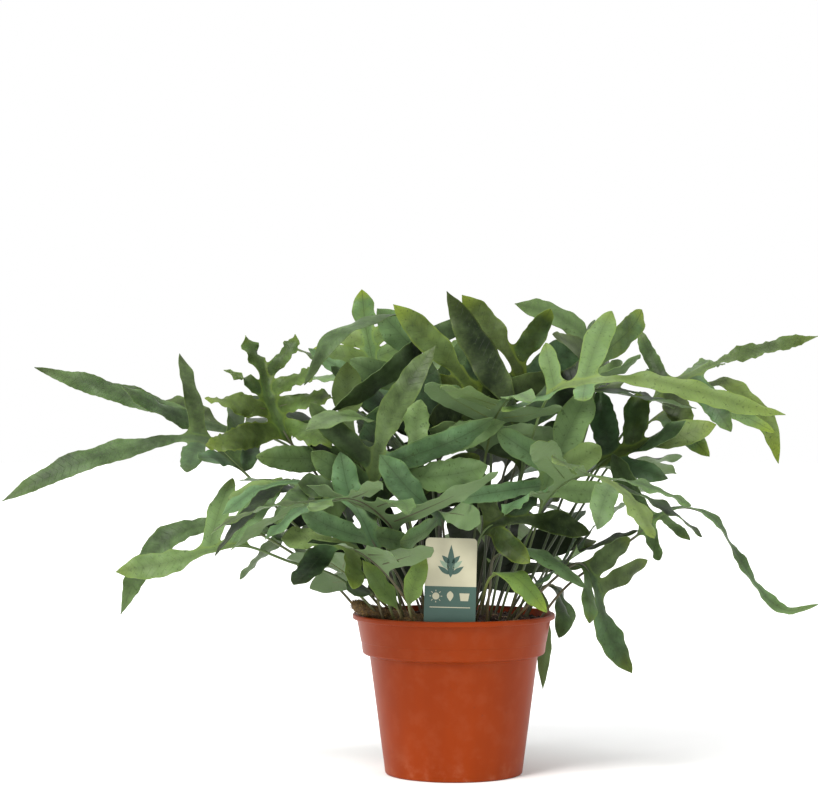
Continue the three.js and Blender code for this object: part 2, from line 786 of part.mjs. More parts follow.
    name: "frond_left_curly",
    isYoung: true,
    path: [
      [-40, 12], [-88, 10, 220], [-132, 6, 284], [-156, 4, 314],
      [-174, 8, 350], [-182, 16, 380], [-197, 22, 411],
    ],
    knee: 3,
    heading: 90,
    width: 20,
    roll: [10, 50],
    wave: 3.6,
    lobes: [
      [0.02, [1, [-238, -30, 299], 24, 0.25, 30], [-1, [-114, -46, 306], 23, 0.2, -40]],
      [0.18, [1, [-232, -22, 352], 23, 0.3, 60], [-1, [-112, -20, 352], 22, 0.3, -60]],
      [0.36, [1, [-216, 2, 378], 17, 0.35, 100], [-1, [-128, 0, 378], 20, 0.35, -80]],
      [0.54, [1, [-210, -28, 330], 16, 0.6, 80], [-1, [-150, 22, 412], 15, 0.3, -90]],
    ],
  },
  {
    name: "frond_left_mid",
    path: [[-50, -54], [-68, -74, 182], [-86, -90, 212], [-114, -100, 225], [-157, -104, 226]],
    knee: 2,
    more: 1,
    heading: 180,
    width: 25,
    roll: [-30, -50],
    wave: 1,
    sharpness: 3.2,
    lobes: [[0.02, [1, [-92, -142, 184], 20, 0.15, 0], [-1, [-128, -52, 262], 24, 0.08, 0]]],
  },
  {
    name: "frond_left_wide",
    path: [[-62, -50], [-76, -62, 190], [-84, -70, 240], [-104, -76, 268], [-143, -82, 275]],
    knee: 2,
    more: 1,
    heading: 180,
    width: 28,
    roll: [-40, -50],
    wave: 1,
    lobes: [[0.02, [-1, [-130, -26, 322], 24, 0.08, 0]]],
  },
  {
    name: "frond_center_low",
    path: [
      [-6, -42], [-9, -50, 200], [-12, -72, 240], [-24, -104, 254],
      [-44, -118, 273], [-68, -118, 302],
    ],
    knee: 2,
    more: 1,
    heading: 180,
    width: 26,
    roll: [-60, -80],
    wave: 1,
    sharpness: 3,
    lobes: [[0.02, [1, [-50, -138, 226], 22, 0.08, 0], [-1, [20, -132, 246], 24, 0.08, 0]]],
  },
  {
    name: "frond_young_left",
    isYoung: true,
    path: [[-44, -62], [-52, -76, 160], [-67, -88, 182], [-84, -94, 206]],
    knee: 1,
    heading: 180,
    width: 19,
    roll: [-60, -60],
    wave: 0.6,
    lobes: [],
  },
  {
    name: "frond_young_front",
    isYoung: true,
    path: [[-32, -66], [-42, -85, 163], [-36, -95, 188], [-27, -98, 212]],
    knee: 1,
    heading: 0,
    width: 19,
    roll: [70, 70],
    wave: 0.6,
    lobes: [],
  },
  {
    name: "frond_right_dark",
    path: [[4, -48], [14, -57, 190], [27, -80, 232], [56, -96, 242], [90, -100, 240], [122, -92, 230]],
    knee: 2,
    more: 1,
    heading: 0,
    width: 24,
    roll: [40, 60],
    wave: 2,
    lobes: [[0.02, [1, [16, -92, 292], 24, 0.05, 0], [-1, [66, -126, 206], 20, 0.08, 0]]],
  },
  {
    name: "frond_left_light",
    path: [[-54, 4], [-70, 2, 220], [-86, -4, 286], [-98, -8, 330], [-100, -10, 386]],
    knee: 2,
    more: 1,
    heading: 90,
    width: 28,
    roll: [0, 10],
    wave: 1,
    lobes: [[0.02, [1, [-184, -30, 298], 25, 0.05, 0], [-1, [-66, -66, 346], 27, 0.1, 0]]],
  },
  {
    name: "frond_front_left",
    path: [
      [-34, -46], [-50, -66, 186], [-72, -90, 218], [-82, -99, 240],
      [-96, -102, 268], [-104, -100, 304],
    ],
    knee: 2,
    more: 1,
    heading: 90,
    width: 24,
    roll: [0, 0],
    wave: 1,
    sharpness: 3,
    lobes: [[0.02, [1, [-138, -122, 254], 22, 0.08, 0], [-1, [-26, -118, 212], 21, 0.08, 0]]],
  },
  {
    name: "frond_center_strap_back",
    path: [
      [26, -12], [30, -20, 230], [34, -28, 300], [26, -34, 340],
      [8, -40, 370], [-20, -44, 402], [-57, -46, 438],
    ],
    knee: 3,
    more: 1,
    heading: 90,
    width: 25,
    roll: [0, 0],
    wave: 1,
    lobes: [[0.02, [1, [-30, -66, 330], 24, 0.1, 0], [-1, [110, -20, 372], 24, 0.1, 0]]],
  },
  {
    name: "frond_top_center",
    path: [[-10, 14], [-12, 12, 230], [-14, 8, 310], [-16, 6, 350], [-34, 8, 392], [-72, 6, 436]],
    knee: 3,
    more: 1,
    heading: 90,
    width: 29,
    roll: [0, 0],
    wave: 1.2,
    lobes: [[0.02, [1, [-98, 16, 388], 26, 0.1, 0], [-1, [36, 22, 430], 26, 0.1, 0]]],
  },
  {
    name: "frond_right_mass",
    path: [
      [64, 10], [96, 12, 205], [120, 10, 262], [138, 8, 290],
      [174, 4, 306], [212, 0, 317], [246, -4, 327],
    ],
    knee: 3,
    heading: 0,
    width: 26,
    roll: [30, 65],
    wave: 1.5,
    sharpness: 3,
    lobes: [
      [0.03, [1, [138, 36, 358], 27, 0.05, 0], [-1, [176, -36, 292], 22, 0.1, 0]],
      [0.27, [1, [178, 30, 358], 26, 0.05, 0], [-1, [212, -44, 316], 20, 0.1, 0]],
    ],
  },
  {
    name: "frond_back_low",
    path: [[16, 44], [26, 66, 168], [50, 82, 192], [84, 92, 208], [126, 96, 214]],
    knee: 1,
    heading: 0,
    width: 30,
    roll: [50, 65],
    wave: 1,
    sharpness: 3,
    lobes: [
      [0.02, [1, [4, 104, 246], 28, 0.05, 0], [-1, [70, 60, 172], 24, 0.05, 0]],
      [0.3, [1, [62, 110, 256], 28, 0.05, 0], [-1, [104, 76, 180], 24, 0.05, 0]],
    ],
  },
  {
    name: "frond_back_left",
    path: [[-22, 46], [-36, 64, 166], [-60, 76, 188], [-92, 80, 202], [-130, 80, 206]],
    knee: 1,
    heading: 180,
    width: 28,
    roll: [-50, -65],
    wave: 1,
    sharpness: 3,
    lobes: [
      [0.02, [-1, [-20, 96, 240], 28, 0.05, 0], [1, [-82, 50, 166], 24, 0.05, 0]],
      [0.3, [-1, [-72, 100, 250], 27, 0.05, 0]],
    ],
  },
  {
    name: "frond_left_fall",
    path: [
      [-74, -12], [-112, -18, 178], [-156, -24, 210], [-200, -22, 232],
      [-237, -20, 231], [-268, -18, 219], [-293, -16, 190], [-311, -14, 150],
    ],
    knee: 3,
    heading: 180,
    width: 25,
    roll: [-40, -75],
    wave: 2,
    lobes: [],
  },
];
const FIRST_TIER_SEED = 32;

// The rest of the crown grows by rule, in tiers from upright in the middle to low around the rim.
const TIERS = [
  {
    name: "crown",
    count: 7,
    turn: 20,
    foot: [6, 36],
    lean: [6, 26],
    bend: [45, 115],
    stalk: [140, 190],
    blade: [130, 180],
    pairs: [3, 4],
  },
  {
    name: "middle",
    count: 7,
    turn: 95,
    foot: [28, 62],
    lean: [26, 46],
    bend: [60, 120],
    stalk: [110, 170],
    blade: [130, 190],
    pairs: [3, 4],
  },
  {
    name: "skirt",
    count: 5,
    turn: 50,
    foot: [50, 70],
    lean: [44, 62],
    bend: [20, 70],
    stalk: [46, 90],
    blade: [100, 150],
    pairs: [2, 3],
  },
];
const BLADE_WIDTH = [22, 30];
const SHARPNESS = [2.2, 3.2];
const WAVE = [0.8, 2.6];
const LOBE_LENGTH = [0.48, 0.82]; // of a side lobe, as a share of the blade's length
const FIRST_PAIR = 0.02; // where the first pair of lobes stands on the blade, as a share of its length
const LOBE_PITCH = 0.19; // from one pair to the next, as a share of the blade's length
const REACH = { left: -212, right: 222, front: -235, back: 285, top: 440, low: 158 };
const GOLDEN_ANGLE = 137.5;

function lengthOf(path) {
  const distance = (a, b) => Math.hypot(b[0] - a[0], b[1] - a[1], b[2] - a[2]);
  return path.slice(1).reduce((sum, point, i) => sum + distance(path[i], point), 0);
}

// How far a later try strays from what was asked, from 0 to 1.
function strayOf(attempt, tries) {
  return Math.min(1, (2 * attempt) / tries);
}

// A pair of side lobes drawn from the ranges. Later tries at a lobe are shorter.
function drawnPair({ seeds, pair, blade, width, sharpness, wave }) {
  const lobes = [1, -1].map((side) => (attempt) => {
    const draw = randomFrom(...seeds, 2 * pair + side, attempt);
    const shrink = 1 - 0.5 * strayOf(attempt, LOBE_TRIES);
    return {
      side,
      width: width * draw(0.8, 1),
      length: blade * draw(...LOBE_LENGTH) * shrink,
      angle: 72 - 12 * pair + draw(-14, 14),
      lift: draw(-0.3, 0.4),
      droop: draw(0, 0.35),
      bow: draw(-0.05, 0.18),
      twist: draw(-40, 40),
      phase: draw(...WAVE_PHASE),
      reach: REACH,
      sharpness,
      wave,
    };
  });
  return { at: FIRST_PAIR + LOBE_PITCH * pair, width, lobes, isDrawn: true };
}

// A frond of the list. Its first try stands exactly as listed, and later ones stray further.
function placedFrond(entry, index, attempt) {
  const draw = randomFrom(index, attempt);
  const stray = strayOf(attempt, SPINE_TRIES);
  const foot = entry.path[0];
  const yaw = degrees(draw(-SPINE_YAW, SPINE_YAW) * stray);
  const rise = 1 + draw(-SPINE_RISE, SPINE_RISE) * stray;
  const moved = ([x, y, z = FOOT_HEIGHT]) => [
    foot[0] + (x - foot[0]) * Math.cos(yaw) - (y - foot[1]) * Math.sin(yaw),
    foot[1] + (x - foot[0]) * Math.sin(yaw) + (y - foot[1]) * Math.cos(yaw),
    FOOT_HEIGHT + (z - FOOT_HEIGHT) * rise,
  ];
  const sharpness = entry.sharpness ?? 2.5;
  const lobeMaker = ([side, tip, width, bow, twist], order) => (lobeAttempt) => {
    const drawLobe = randomFrom(index, order, lobeAttempt);
    const room = LOBE_STRAY * strayOf(lobeAttempt, LOBE_TRIES);
    return {
      side,
      tip: moved(tip).map((value) => value + drawLobe(-room, room)),
      width,
      bow,
      twist,
      sharpness,
      wave: entry.wave,
      phase: drawLobe(...WAVE_PHASE),
    };
  };
  const path = entry.path.map(moved);
  const stations = entry.lobes.map(([at, ...lobes], order) => ({
    at,
    width: Math.max(...lobes.map((lobe) => lobe[2])),
    lobes: lobes.map((lobe, i) => lobeMaker(lobe, 2 * order + i)),
  }));
  const blade = lengthOf(path.slice(entry.knee));
  for (let pair = stations.length; pair < entry.lobes.length + (entry.more ?? 0); pair += 1) {
    stations.push(drawnPair({ ...entry, sharpness, seeds: [index], pair, blade }));
  }
  return { ...entry, sharpness, phase: draw(...WAVE_PHASE), path, stations };
}

// A frond of a tier, drawn from its ranges.
function grownFrond(tier, number, attempt) {
  const seeds = [FIRST_TIER_SEED + TIERS.indexOf(tier), number];
  const draw = randomFrom(...seeds, attempt);
  const heading = tier.turn + number * GOLDEN_ANGLE + draw(-25, 25);
  const footAngle = degrees(heading + draw(-18, 18));
  const footRadius = draw(...tier.foot);
  const stalk = draw(...tier.stalk);
  const blade = draw(...tier.blade);
  const lean = draw(...tier.lean);
  const bend = draw(...tier.bend);
  const drift = draw(-14, 14);
  const path = [[footRadius * Math.cos(footAngle), footRadius * Math.sin(footAngle), FOOT_HEIGHT]];
  const steps = [
    [stalk * 0.4, lean * 0.75],
    [stalk * 0.6, lean],
    [blade * 0.35, lean + bend * 0.3],
    [blade * 0.35, lean + bend * 0.7],
    [blade * 0.3, lean + bend],
  ];
  steps.forEach(([length, fromVertical], i) => {
    const [x, y, z] = path[path.length - 1];
    const out = length * Math.sin(degrees(fromVertical));
    const rise = length * Math.cos(degrees(fromVertical));
    const way = degrees(heading + (drift * i) / 4);
    path.push([x + out * Math.cos(way), y + out * Math.sin(way), z + rise]);
  });
  const pairs = Math.round(draw(tier.pairs[0] - 0.4, tier.pairs[1] + 0.4));
  const width = draw(...BLADE_WIDTH);
  const sharpness = draw(...SHARPNESS);
  const wave = draw(...WAVE);
  const turn = draw(-25, 25);
  const stations = [];
  for (let pair = 0; pair < pairs; pair += 1) {
    stations.push(drawnPair({ seeds, pair, blade, width, sharpness, wave }));
  }
  return {
    name: `frond_${tier.name}_${number + 1}`,
    path,
    knee: 2,
    heading,
    width,
    sharpness,
    wave,
    phase: draw(...WAVE_PHASE),
    roll: [turn * 0.4, turn],
    stations,
    reach: REACH,
  };
}

// Placing the fronds

// A grown strip with its bounds, for telling whether two pieces would touch.
function grownStrip(cuts, owner) {
  const solid = stripSolid(cuts, CLEARANCE);
  return { solid, bounds: solid.boundingBox(), owner };
}

function meets(a, b) {
  for (let axis = 0; axis < 3; axis += 1) {
    if (a.bounds.min[axis] > b.bounds.max[axis]) return false;
    if (b.bounds.min[axis] > a.bounds.max[axis]) return false;
  }
  return !a.solid.intersect(b.solid).isEmpty();
}

function meetsAny(strip, others) {
  return others.some((other) => meets(strip, other));
}

// Fronds that grow by rule stay within the crown's outline, and only the rearmost hang low.
function isInReach(cuts, reach) {
  if (!reach) return true;
  return cuts.every(({ left: { x, y, z } }) => {
    const isInside = x > reach.left && x < reach.right && y > reach.front && y < reach.back;
    const isHigh = z > reach.low || y > BASE_RADIUS;
    return isInside && isHigh && z < reach.top;
  });
}

// The first try at a frond's spine that keeps clear of all that stands. A stalk may pass through what
// it roots in, and nothing else of a frond touches it.
function settleSpine(makeFrond, standing) {
  const firm = standing.filter(({ isRoot }) => !isRoot);
  for (let attempt = 0; attempt < SPINE_TRIES; attempt += 1) {
    const frond = makeFrond(attempt);
    const { spine, stations } = frondSpine(frond);
    if (!isInReach(spine.slice(STALK_SEGMENTS), frond.reach)) continue;
    const stalk = grownStrip(spine.slice(0, STALK_SEGMENTS + 1), frond.name);
    const rib = grownStrip(spine.slice(STALK_SEGMENTS), frond.name);
    if (meetsAny(stalk, firm) || meetsAny(rib, standing)) continue;
    standing.push(stalk, rib);
    return { name: frond.name, isYoung: frond.isYoung, spine, stations, lobes: [] };
  }
  throw new Error(`${makeFrond(0).name} finds no room`);
}

// The first try at a side lobe that finds room, or none. Its root lies on its own rib, so only what is
// past the root keeps clear of its own stalk and rib.
function settleLobe(makeLobe, station, owner, standing) {
  const [stalk, rib, ...ownLobes] = standing.filter((strip) => strip.owner === owner);
  const others = standing.filter((strip) => strip.owner !== owner);
  for (let attempt = 0; attempt < LOBE_TRIES; attempt += 1) {
    const lobe = makeLobe(attempt);
    const { root, sections, ring } = lobeSections(lobe, station);
    if (!isInReach(sections, lobe.reach)) continue;
    const whole = grownStrip([root, ...sections], owner);
    if (meetsAny(whole, others) || meetsAny(whole, ownLobes)) continue;
    if (meetsAny(grownStrip(sections, owner), [stalk, rib])) continue;
    standing.push(whole);
    return [{ side: lobe.side, ring, sections }];
  }
  return [];
}

function settleLobes(frond, areDrawn, standing) {
  frond.stations
    .filter(({ isDrawn = false }) => isDrawn === areDrawn)
    .forEach((station) => {
      station.lobes.forEach((makeLobe) => {
        frond.lobes.push(...settleLobe(makeLobe, station, frond.name, standing));
      });
    });
}

// Listed fronds stand first with their listed lobes, then get their drawn ones, and the tiers fill in.
function growFronds(holders, roots) {
  const piece = (isRoot) => (solid) => ({ solid, bounds: solid.boundingBox(), isRoot });
  const standing = [...holders.map(piece(false)), ...roots.map(piece(true))];
  const placed = PLACED.map((entry, index) => {
    const frond = settleSpine((attempt) => placedFrond(entry, index, attempt), standing);
    settleLobes(frond, false, standing);
    return frond;
  });
  placed.forEach((frond) => settleLobes(frond, true, standing));
  const grown = TIERS.flatMap((tier) =>
    Array.from({ length: tier.count }, (_, number) => {
      const frond = settleSpine((attempt) => grownFrond(tier, number, attempt), standing);
      settleLobes(frond, true, standing);
      return frond;
    }),
  );
  return [...placed, ...grown];
}

// A plain hole for a stalk: the stalk's own run, a little wider and deeper.
function stalkHole(spine) {
  const [foot, ...rest] = spine.slice(0, STALK_SEGMENTS + 1);
  const down = foot.left.clone().sub(rest[0].left).normalize().multiplyScalar(GAP);
  const below = { ...foot, left: foot.left.clone().add(down), right: foot.right.clone().add(down) };
  return stripSolid([below, ...rest], GAP);
}

// Assembly

const MATERIALS = {
  pot: { color: 0xa8492b, roughness: 0.42 },
  soil: { color: 0x2b1c14, roughness: 0.98 },
  label: { color: 0xe6dfc8, roughness: 0.5 },
  rhizome: { color: 0x6e6a2c, roughness: 0.95 },
  leaf: { color: 0x5c7d5c, roughness: 0.6 },
  youngLeaf: { color: 0x7f9c4a, roughness: 0.55 },
};

function named(name, geometry, kind) {
  const material = new THREE.MeshStandardMaterial({ ...MATERIALS[kind], metalness: 0 });
  const mesh = new THREE.Mesh(geometry, material);
  mesh.name = name;
  return mesh;
}

function pottedFern() {
  const group = new THREE.Group();
  const pot = potGeometry();
  group.add(named("pot", pot, "pot"));
  const label = labelGeometry();
  group.add(named("label", label, "label"));

  const rhizomes = RHIZOMES.map((rhizome) => ({
    name: rhizome.name,
    solid: rhizomeSolid(rhizome),
    room: rhizomeSolid(rhizome, GAP),
  }));
  let soil = soilSolid();
  const roots = [soil, ...rhizomes.map((rhizome) => rhizome.solid)];
  const fronds = growFronds([solidOf(pot), solidOf(label)], roots);
  soil = soil.subtract(solidOf(labelGeometry(GAP)));
  rhizomes.forEach((rhizome) => {
    soil = soil.subtract(rhizome.room);
    rhizome.solid = rhizome.solid.subtract(solidOf(labelGeometry(GAP)));
  });

  fronds.forEach(({ name, isYoung, spine, lobes }) => {
    const hole = stalkHole(spine);
    soil = soil.subtract(hole);
    rhizomes.forEach((rhizome) => {
      rhizome.solid = rhizome.solid.subtract(hole);
    });
    group.add(named(name, frondGeometry({ spine, lobes }), isYoung ? "youngLeaf" : "leaf"));
  });
  rhizomes.forEach(({ name, solid }) => group.add(named(name, geometryOf(solid), "rhizome")));
  group.add(named("soil", geometryOf(soil), "soil"));
  return group;
}

export default pottedFern();
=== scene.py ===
import math
from collections import Counter
from functools import partial

import bpy
import numpy as np
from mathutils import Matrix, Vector, kdtree, noise


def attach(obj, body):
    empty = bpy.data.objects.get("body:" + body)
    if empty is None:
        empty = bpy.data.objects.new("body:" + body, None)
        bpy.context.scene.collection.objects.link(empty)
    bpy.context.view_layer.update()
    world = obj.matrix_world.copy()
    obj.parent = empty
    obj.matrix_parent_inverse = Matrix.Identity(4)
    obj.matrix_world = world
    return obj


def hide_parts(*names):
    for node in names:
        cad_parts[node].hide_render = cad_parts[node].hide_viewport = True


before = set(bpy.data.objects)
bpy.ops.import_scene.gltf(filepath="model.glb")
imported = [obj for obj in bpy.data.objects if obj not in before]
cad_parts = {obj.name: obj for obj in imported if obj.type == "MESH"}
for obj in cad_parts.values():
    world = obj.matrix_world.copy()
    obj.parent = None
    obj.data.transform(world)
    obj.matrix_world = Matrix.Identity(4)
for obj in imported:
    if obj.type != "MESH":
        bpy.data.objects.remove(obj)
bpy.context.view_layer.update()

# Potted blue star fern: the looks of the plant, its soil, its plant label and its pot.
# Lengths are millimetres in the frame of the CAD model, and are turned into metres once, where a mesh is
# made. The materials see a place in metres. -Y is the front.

MM = 0.001
UP = np.array([0, 0, 1.0])

# Pot
POT_HEIGHT = 150
RIM_RADIUS = 95
BASE_RADIUS = 64.3
WALL = 1.6
FLOOR = 2
STEP_HEIGHT = 111
STEP_RADIUS = 79
COLLAR_HEIGHT = STEP_HEIGHT + 4
COLLAR_FOOT_RADIUS = 85.6
COLLAR_TOP_RADIUS = 91
LINE_RADIUS = COLLAR_FOOT_RADIUS + 1.24  # of the fine raised line round the collar
LINE_HEIGHT = 124
LINE_DEPTH = 0.3
LIP_HEIGHT = POT_HEIGHT - 5
POT_CORNERS = [  # radius, height and the length that each corner's rounding takes
    (0, 0, 0), (BASE_RADIUS, 0, 1.6), (STEP_RADIUS, STEP_HEIGHT, 1), (COLLAR_FOOT_RADIUS - 0.2, 112.6, 2.2),
    (LINE_RADIUS, LINE_HEIGHT, 0.15), (LINE_RADIUS + LINE_DEPTH, LINE_HEIGHT + 0.2, 0.15),
    (COLLAR_TOP_RADIUS, LIP_HEIGHT, 0.7), (RIM_RADIUS, LIP_HEIGHT + 0.2, 1.4),
    (RIM_RADIUS - 0.1, POT_HEIGHT, 1.6), (91.2, POT_HEIGHT, 1.4), (89.9, LIP_HEIGHT, 2),
    (COLLAR_FOOT_RADIUS - WALL, COLLAR_HEIGHT, 1), (STEP_RADIUS - WALL, STEP_HEIGHT - 1, 1),
    (BASE_RADIUS - WALL + 0.2, FLOOR, 1), (0, FLOOR, 0),
]
ROUNDING_STEPS = 5
POT_SIDES = 168
NOTCH = dict(count=3, first_degrees=-45, width=41, top_width=29, height=6.5, depth=20, clear=4)

# Soil
GAP = 0.4
SOIL_EDGE_HEIGHT = 142
SOIL_MOUND = 6
SOIL_RINGS = 52
SOIL_SECTORS = 180
CRUMBS = 1700
CRUMB_RINGS = [(1, 0, 1), (0.45, 0.85, 5), (-0.45, 0.85, 5), (-1, 0, 1)]  # height, radius and corners
CRUMB_SIZE = [0.7, 2.6]  # the least, and what chance adds to it at most
FIBRES = 130
FIBRE_STEPS = 9
FIBRE_LENGTH = [9, 32]
FIBRE_RADIUS = [0.16, 0.38]
LUMPS = [(11, 3, 2.2), (4, 9, 1.3), (1.8, 5, 0.7)]  # span, seed and height of each kind of lump
FOOT_HEIGHT = SOIL_EDGE_HEIGHT - 8

# Rhizomes: each creeps over the soil along its points, and its radius is that of the thick end
RHIZOMES = [
    dict(name="rhizome_left", points=[(-34, -22, 145), (-58, -34, 149), (-78, -38, 155), (-95, -40, 163)],
         radius=7.5),
    dict(name="rhizome_front", points=[(14, -64, 146), (-12, -58, 149), (-34, -64, 148), (-52, -60, 146)],
         radius=6.5),
]
RHIZOME_RINGS = 54
RHIZOME_SIDES = 20
SCALES = 1500
SCALE_LENGTH = [1.8, 4.2]
SCALE_HALF = [0.3, 0.8]

# Label
LABEL = dict(width=47, top=225, shoulder=138, point=117, x=-5.5, y=-79)
CARD_HALF = 0.45
PRINT = 0.05  # how far the print stands out of the card
LABEL_CORNER = 4
CORNER_STEPS = 8
LABEL_SPIKE_HALF = 2.5
LABEL_LEAN = math.radians(4)
LABEL_TILT = math.radians(1.5)
BAND_TOP = 181
LEAFLET_STEPS = 12
LEAF_MOTIF = [  # foot, length, width and degrees of its leaflets, and the number of their colour
    (0, 189, 30, 7, 90, 1), (1.2, 192, 13, 4.4, 35, 1), (-1.2, 192, 13, 4.4, 145, 1),
    (1.2, 197, 12, 4.4, 40, 2), (-1.2, 197, 12, 4.4, 140, 2), (1.2, 202, 10, 4.4, 45, 1),
    (-1.2, 202, 10, 4.4, 135, 1),
]
SUN_SYMBOL = dict(x=-13, z=172, radius=3.2, sides=28, rays=8, ray_start=4.1, ray_length=2, ray_width=0.7)
DROP_SYMBOL = (0, 176.8, 9.4, 6, -90)
POT_SYMBOL = [(9.6, 168), (16.4, 168), (17.6, 175), (8.4, 175)]
PRINTED_LINE = dict(low=161.6, high=162.4, margin=5)

# Fronds, as the CAD model has them
STALK_HALF = 1.25
WING_HALF = 4
WING_START = 0.6
WING_GROWTH = 30
BLADE_HALF = 0.45
TIP_HALF = 1.3
BELLY = 0.35
TAPER = 0.5
LOBE_SWEEP = 0.12
LOBE_BASE = 0.72
SCALLOP = 0.07
WAVE_PHASE = [-0.5, 0.5]
PAIR_GAP = 3
SEGMENT = 24
LEAST_SEGMENTS = dict(end=4, side=3)
CURVE_STEPS = 24
SPINE_TRIES = 400
LOBE_TRIES = 40
SPINE_YAW = 14
SPINE_RISE = 0.07
LOBE_STRAY = 24
BLADE_WIDTH = [22, 30]
SHARPNESS = [2.2, 3.2]
FIRST_TIER_SEED = 32
WAVE = [0.8, 2.6]
LOBE_LENGTH = [0.48, 0.82]
FIRST_PAIR = 0.02
LOBE_PITCH = 0.19
GOLDEN_ANGLE = 137.5

# Fronds, as they are dressed
CORNER_MATCH = 0.05  # how near a corner of the CAD solid lies to where the same rule puts it
COLUMNS = [-1, -0.9, -0.62, -0.3, 0, 0.3, 0.62, 0.9, 1]  # across a blade, from its right margin to its left
ROW = 3.2  # length of a row of faces along a blade
ROWS_END = 0.96  # the share of a blade where its even rows end
TIP_ROWS = [0.985, 1]
ROUNDNESS = 0.8
LEAST_HALF = 0.3
WING_LEAD = 14  # how far below the knee a blade with lobes runs out along the stalk
PLAIN_LEAD = 5  # and one without
WING_RUN = 8
WING_LEAST = 0.8
STALK_COVER = 0.9  # the share of the stalk's half width that a blade without lobes begins with
SAG_START = 0.2  # the share of a blade over which its sag begins
LOBE_SAG_START = 0.3
LOBE_EASE = 1.2  # how soon a lobe leaves the shape of the wing that it grows from
BLADE_MIDDLE_HALF = 0.42  # half the thickness of a blade along its midrib
BLADE_MARGIN_HALF = 0.2  # and at its margin
GROOVE = 0.3
GROOVED_HALF = 6  # the half width from which a blade has its full groove
RUFFLED_HALF = 8  # and its full ruffles
RUFFLE_PITCH = [15, 26]
TOOTH_PITCH = [9, 17]
FILLET = 13  # how far from the corner between a lobe and its wing the margin is rounded
FILLET_PASSES = 14
FILLET_PULL = 0.6
RIB_SIDES = 6
RIB_STEP = 5
RIB_END = 0.985
RIB_TIP_RADIUS = 0.18
LOBE_RIB_RADIUS = [0.67, 0.12]  # at the foot of a lobe and at its tip
RIB_SINK = 6  # how soon past the knee the rib lies below its blade
ACROSS_SPAN = 20  # the lengths that a full mark across and along a blade stands for
ALONG_SPAN = 200


def random_from(*numbers):
    """A repeatable stream of random numbers for each set of whole numbers."""
    state = 5
    for value in numbers:
        state = (state * 1009 + value + 1) % 4294967296

    def draw(low, high):
        nonlocal state
        state = (state * 1664525 + 1013904223) % 4294967296
        return low + ((high - low) * state) / 4294967296

    for _ in range(4):
        draw(0, 1)
    return draw


def unit(vector):
    return vector / np.linalg.norm(vector)


def smooth(share):
    t = min(1, max(0, share))
    return t * t * (3 - 2 * t)


def around(ring):
    """Each member of a ring with the next one."""
    ring = list(ring)
    return zip(ring, ring[1:] + ring[:1])


def circle(radius, count):
    """Points of a circle, as pairs."""
    for i in range(count):
        angle = 2 * math.pi * i / count
        yield radius * math.cos(angle), radius * math.sin(angle)


# Curves

def catmull(points, share):
    last = len(points) - 1
    place = last * share
    index = math.floor(place)
    weight = place - index
    if weight == 0 and index == last:
        index = last - 1
        weight = 1
    b, c = points[index], points[index + 1]
    a = points[index - 1] if index > 0 else 2 * b - c
    d = points[index + 2] if index + 2 <= last else 2 * c - b
    start, end = 0.5 * (c - a), 0.5 * (d - b)
    square, cube = weight ** 2, weight ** 3
    return b + start * weight + (3 * (c - b) - 2 * start - end) * square + (2 * (b - c) + start + end) * cube


def bezier(points, share):
    a, b, c = points
    rest = 1 - share
    return rest * rest * a + 2 * rest * share * b + share * share * c


def direction(curve, points, share):
    """A curve's unit tangent."""
    step = 0.0001
    low, high = max(0, share - step), min(1, share + step)
    return unit(curve(points, high) - curve(points, low))


def turned_frame(forward, left, roll_degrees):
    """The frame of a blade at a point: forward along it, left across it, and up out of its face."""
    flat = unit(left - forward * np.dot(left, forward))
    angle = math.radians(roll_degrees)
    flat = flat * math.cos(angle) + np.cross(forward, flat) * math.sin(angle)
    return forward, flat, np.cross(forward, flat)


def across_heading(degrees):
    heading = math.radians(degrees)
    return np.array([-math.sin(heading), math.cos(heading), 0])


class Line:
    """A frond's middle line, from foot to tip."""

    def __init__(self, frond):
        self.points = np.array(frond["path"], float)
        self.shares = np.linspace(0, 1, (len(self.points) - 1) * CURVE_STEPS + 1)
        samples = np.array([catmull(self.points, share) for share in self.shares])
        runs = np.linalg.norm(np.diff(samples, axis=0), axis=1)
        self.lengths = np.concatenate([[0], np.cumsum(runs)])
        self.total = self.lengths[-1]
        self.knee = self.lengths[frond["knee"] * CURVE_STEPS]
        self.blade = self.total - self.knee
        self.roll = frond["roll"]
        self.across = across_heading(frond["heading"])

    def share(self, distance):
        return float(np.interp(distance, self.lengths, self.shares))

    def point(self, distance):
        return catmull(self.points, self.share(distance))

    def frame(self, distance):
        turn = smooth((distance - self.knee) / self.blade)
        roll = self.roll[0] + (self.roll[1] - self.roll[0]) * turn
        return turned_frame(direction(catmull, self.points, self.share(distance)), self.across, roll)


# Frond list, with the same places and sizes as the CAD model's

def listed(name, heading, knee, width, roll, wave, path, *lobes, sharpness=2.5, **rest):
    """A frond of the list. Its path runs from the foot to the tip, and its blade begins at the knee, a point
    of the path. Lobes are given a pair at a time: where the pair stands along the blade, then each lobe's
    side, tip, width, bow and twist. more counts the pairs that are drawn by chance beyond them. tone is how
    light the frond is, from 0 to 1, and age how fresh and yellow-green."""
    return dict(
        rest, name=f"frond_{name}", heading=heading, knee=knee, width=width, roll=roll, wave=wave, path=path,
        lobes=lobes, sharpness=sharpness,
    )


